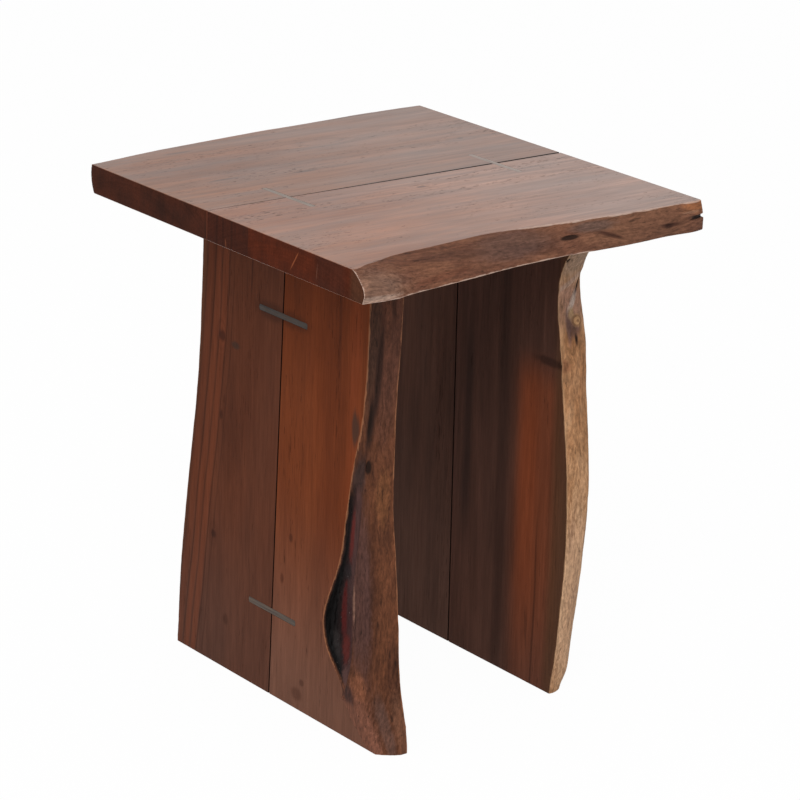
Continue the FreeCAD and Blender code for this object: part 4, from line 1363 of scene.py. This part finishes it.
# The top's bars are paler, partly their own grey and partly a painted sheen, the right one most.
key_finish = {
    "top_left": bar_material("left_key_wood", TOP_ROUGH, (107, 93, 83), (128, 113, 102), (145, 129, 117)),
    "top_right": bar_material("pale_key_wood", TOP_ROUGH, (126, 112, 104), (150, 134, 125), (168, 152, 143)),
    "left_leg_upper": bar_material("upper_key_wood", LEG_ROUGH, (36, 27, 21), (49, 38, 30), (62, 49, 40)),
    "left_leg_lower": bar_material("lower_key_wood", LEG_ROUGH, (52, 42, 34), (71, 58, 48), (90, 75, 63)),
    "right_leg": bar_material("right_key_wood", LEG_ROUGH, (50, 40, 32), (70, 57, 47), (88, 74, 62)),
}
dowel_wood = bar_material("dowel_brown_wood", DOWEL_ROUGH, (30, 20, 15), (44, 29, 21), (58, 38, 27))
for name in key_names + dowel_names:
    finish = dowel_wood
    if name in key_names:
        finish = next(key_finish[start] for start in key_finish if name.startswith(start))
    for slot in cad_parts[name].material_slots:
        slot.material = finish
print("finished", len(key_names), "keys and", len(dowel_names), "dowels")

# %% [markdown]
# ## Floor, light and camera
# The table stands in a white studio. One large soft lamp comes from the upper left of the camera and the
# white surroundings fill the rest, so that a colour shows about as it was mixed. The floor is pale and
# takes the table's soft shadow. For the camera it glows a little, which keeps the background white without
# more light on the table.

# %% The floor
FLOOR_HALF = 9.0
FLOOR_GLOW = 0.97
FLOOR_COUNTS = (6.0, 6.0, 6.0)


def seen_directly(tree):
    """1 for camera, mirror and see-through rays, 0 for the light that falls on things."""
    path = add(tree, "ShaderNodeLightPath").outputs
    seen = calc(tree, "MAXIMUM", path["Is Camera Ray"], path["Is Glossy Ray"])
    return calc(tree, "MAXIMUM", seen, path["Is Transmission Ray"])


def floor_material():
    """Pale paper with a faint mottle, lifted towards white for the camera."""
    material, tree, shader = new_material("floor_paper")
    tree.nodes.remove(shader)
    place = add(tree, "ShaderNodeTexCoord").outputs["Object"]
    mottle = counted_noise(tree, place, FLOOR_COUNTS, 3.0)
    shades = [(0.3, tone(246, 246, 246)), (0.7, tone(250, 250, 250))]
    paper = add(tree, "ShaderNodeBsdfDiffuse", {"Color": colour_ramp(tree, mottle, shades)})
    glow = add(tree, "ShaderNodeEmission", {"Color": (1.0, 1.0, 1.0, 1.0), "Strength": 1.0})
    share = calc(tree, "MULTIPLY", seen_directly(tree), FLOOR_GLOW)
    both = add(tree, "ShaderNodeMixShader", {0: share, 1: paper.outputs[0], 2: glow.outputs[0]})
    tree.links.new(both.outputs[0], tree.nodes["Material Output"].inputs["Surface"])
    return material


floor_mesh = bpy.data.meshes.new("studio_floor")
corners = [(x * FLOOR_HALF, y * FLOOR_HALF, 0.0) for x, y in ((-1, -1), (1, -1), (1, 1), (-1, 1))]
floor_mesh.from_pydata(corners, [], [(0, 1, 2, 3)])
floor_mesh.materials.append(floor_material())
floor = bpy.data.objects.new("studio_floor", floor_mesh)
scene.collection.objects.link(floor)
print("floor of", 2 * FLOOR_HALF, "metres")

# %% The white surroundings and the soft lamp
SURROUND_LIGHT = 0.62
LAMP_PLACE = Vector((-2.2, -2.4, 3.0))
LAMP_AIM = Vector((0.0, 0.0, 0.3))
LAMP_SIZE = 2.4
LAMP_POWER = 95.0
world = bpy.data.worlds.new("white_studio")
world.use_nodes = True
scene.world = world
background = world.node_tree.nodes["Background"]
background.inputs["Color"].default_value = (1.0, 1.0, 1.0, 1.0)
strength = soft_step(world.node_tree, seen_directly(world.node_tree), 0.0, 1.0, SURROUND_LIGHT, 1.0)
world.node_tree.links.new(strength, background.inputs["Strength"])

lamp_data = bpy.data.lights.new("soft_lamp", "AREA")
lamp_data.size = LAMP_SIZE
lamp_data.energy = LAMP_POWER
lamp = bpy.data.objects.new("soft_lamp", lamp_data)
lamp.location = LAMP_PLACE
lamp.rotation_euler = (LAMP_AIM - LAMP_PLACE).to_track_quat("-Z", "Y").to_euler()
scene.collection.objects.link(lamp)
print("lamp of", LAMP_POWER, "watts at", tuple(LAMP_PLACE))

# %% The camera
CAMERA_PLACE = Vector((-1.9191, -2.5134, 1.3329))
CAMERA_AZIMUTH = math.radians(-37.565)
CAMERA_ELEVATION = math.radians(18.368)
CAMERA_ROLL = math.radians(1.671)
CAMERA_LENS = 155.2
CAMERA_SENSOR = 36.0
back = Vector((math.sin(CAMERA_AZIMUTH) * math.cos(CAMERA_ELEVATION),
               -math.cos(CAMERA_AZIMUTH) * math.cos(CAMERA_ELEVATION), math.sin(CAMERA_ELEVATION)))
level = Vector((math.cos(CAMERA_AZIMUTH), math.sin(CAMERA_AZIMUTH), 0.0))
right = Matrix.Rotation(CAMERA_ROLL, 3, back) @ level
up = back.cross(right)
camera_data = bpy.data.cameras.new("photo_camera")
camera_data.lens = CAMERA_LENS
camera_data.sensor_width = CAMERA_SENSOR
camera = bpy.data.objects.new("photo_camera", camera_data)
camera.matrix_world = Matrix.Translation(CAMERA_PLACE) @ Matrix((right, up, back)).transposed().to_4x4()
scene.collection.objects.link(camera)
scene.camera = camera
scene.view_settings.view_transform = "Standard"
print("camera at", tuple(round(part, 3) for part in CAMERA_PLACE))
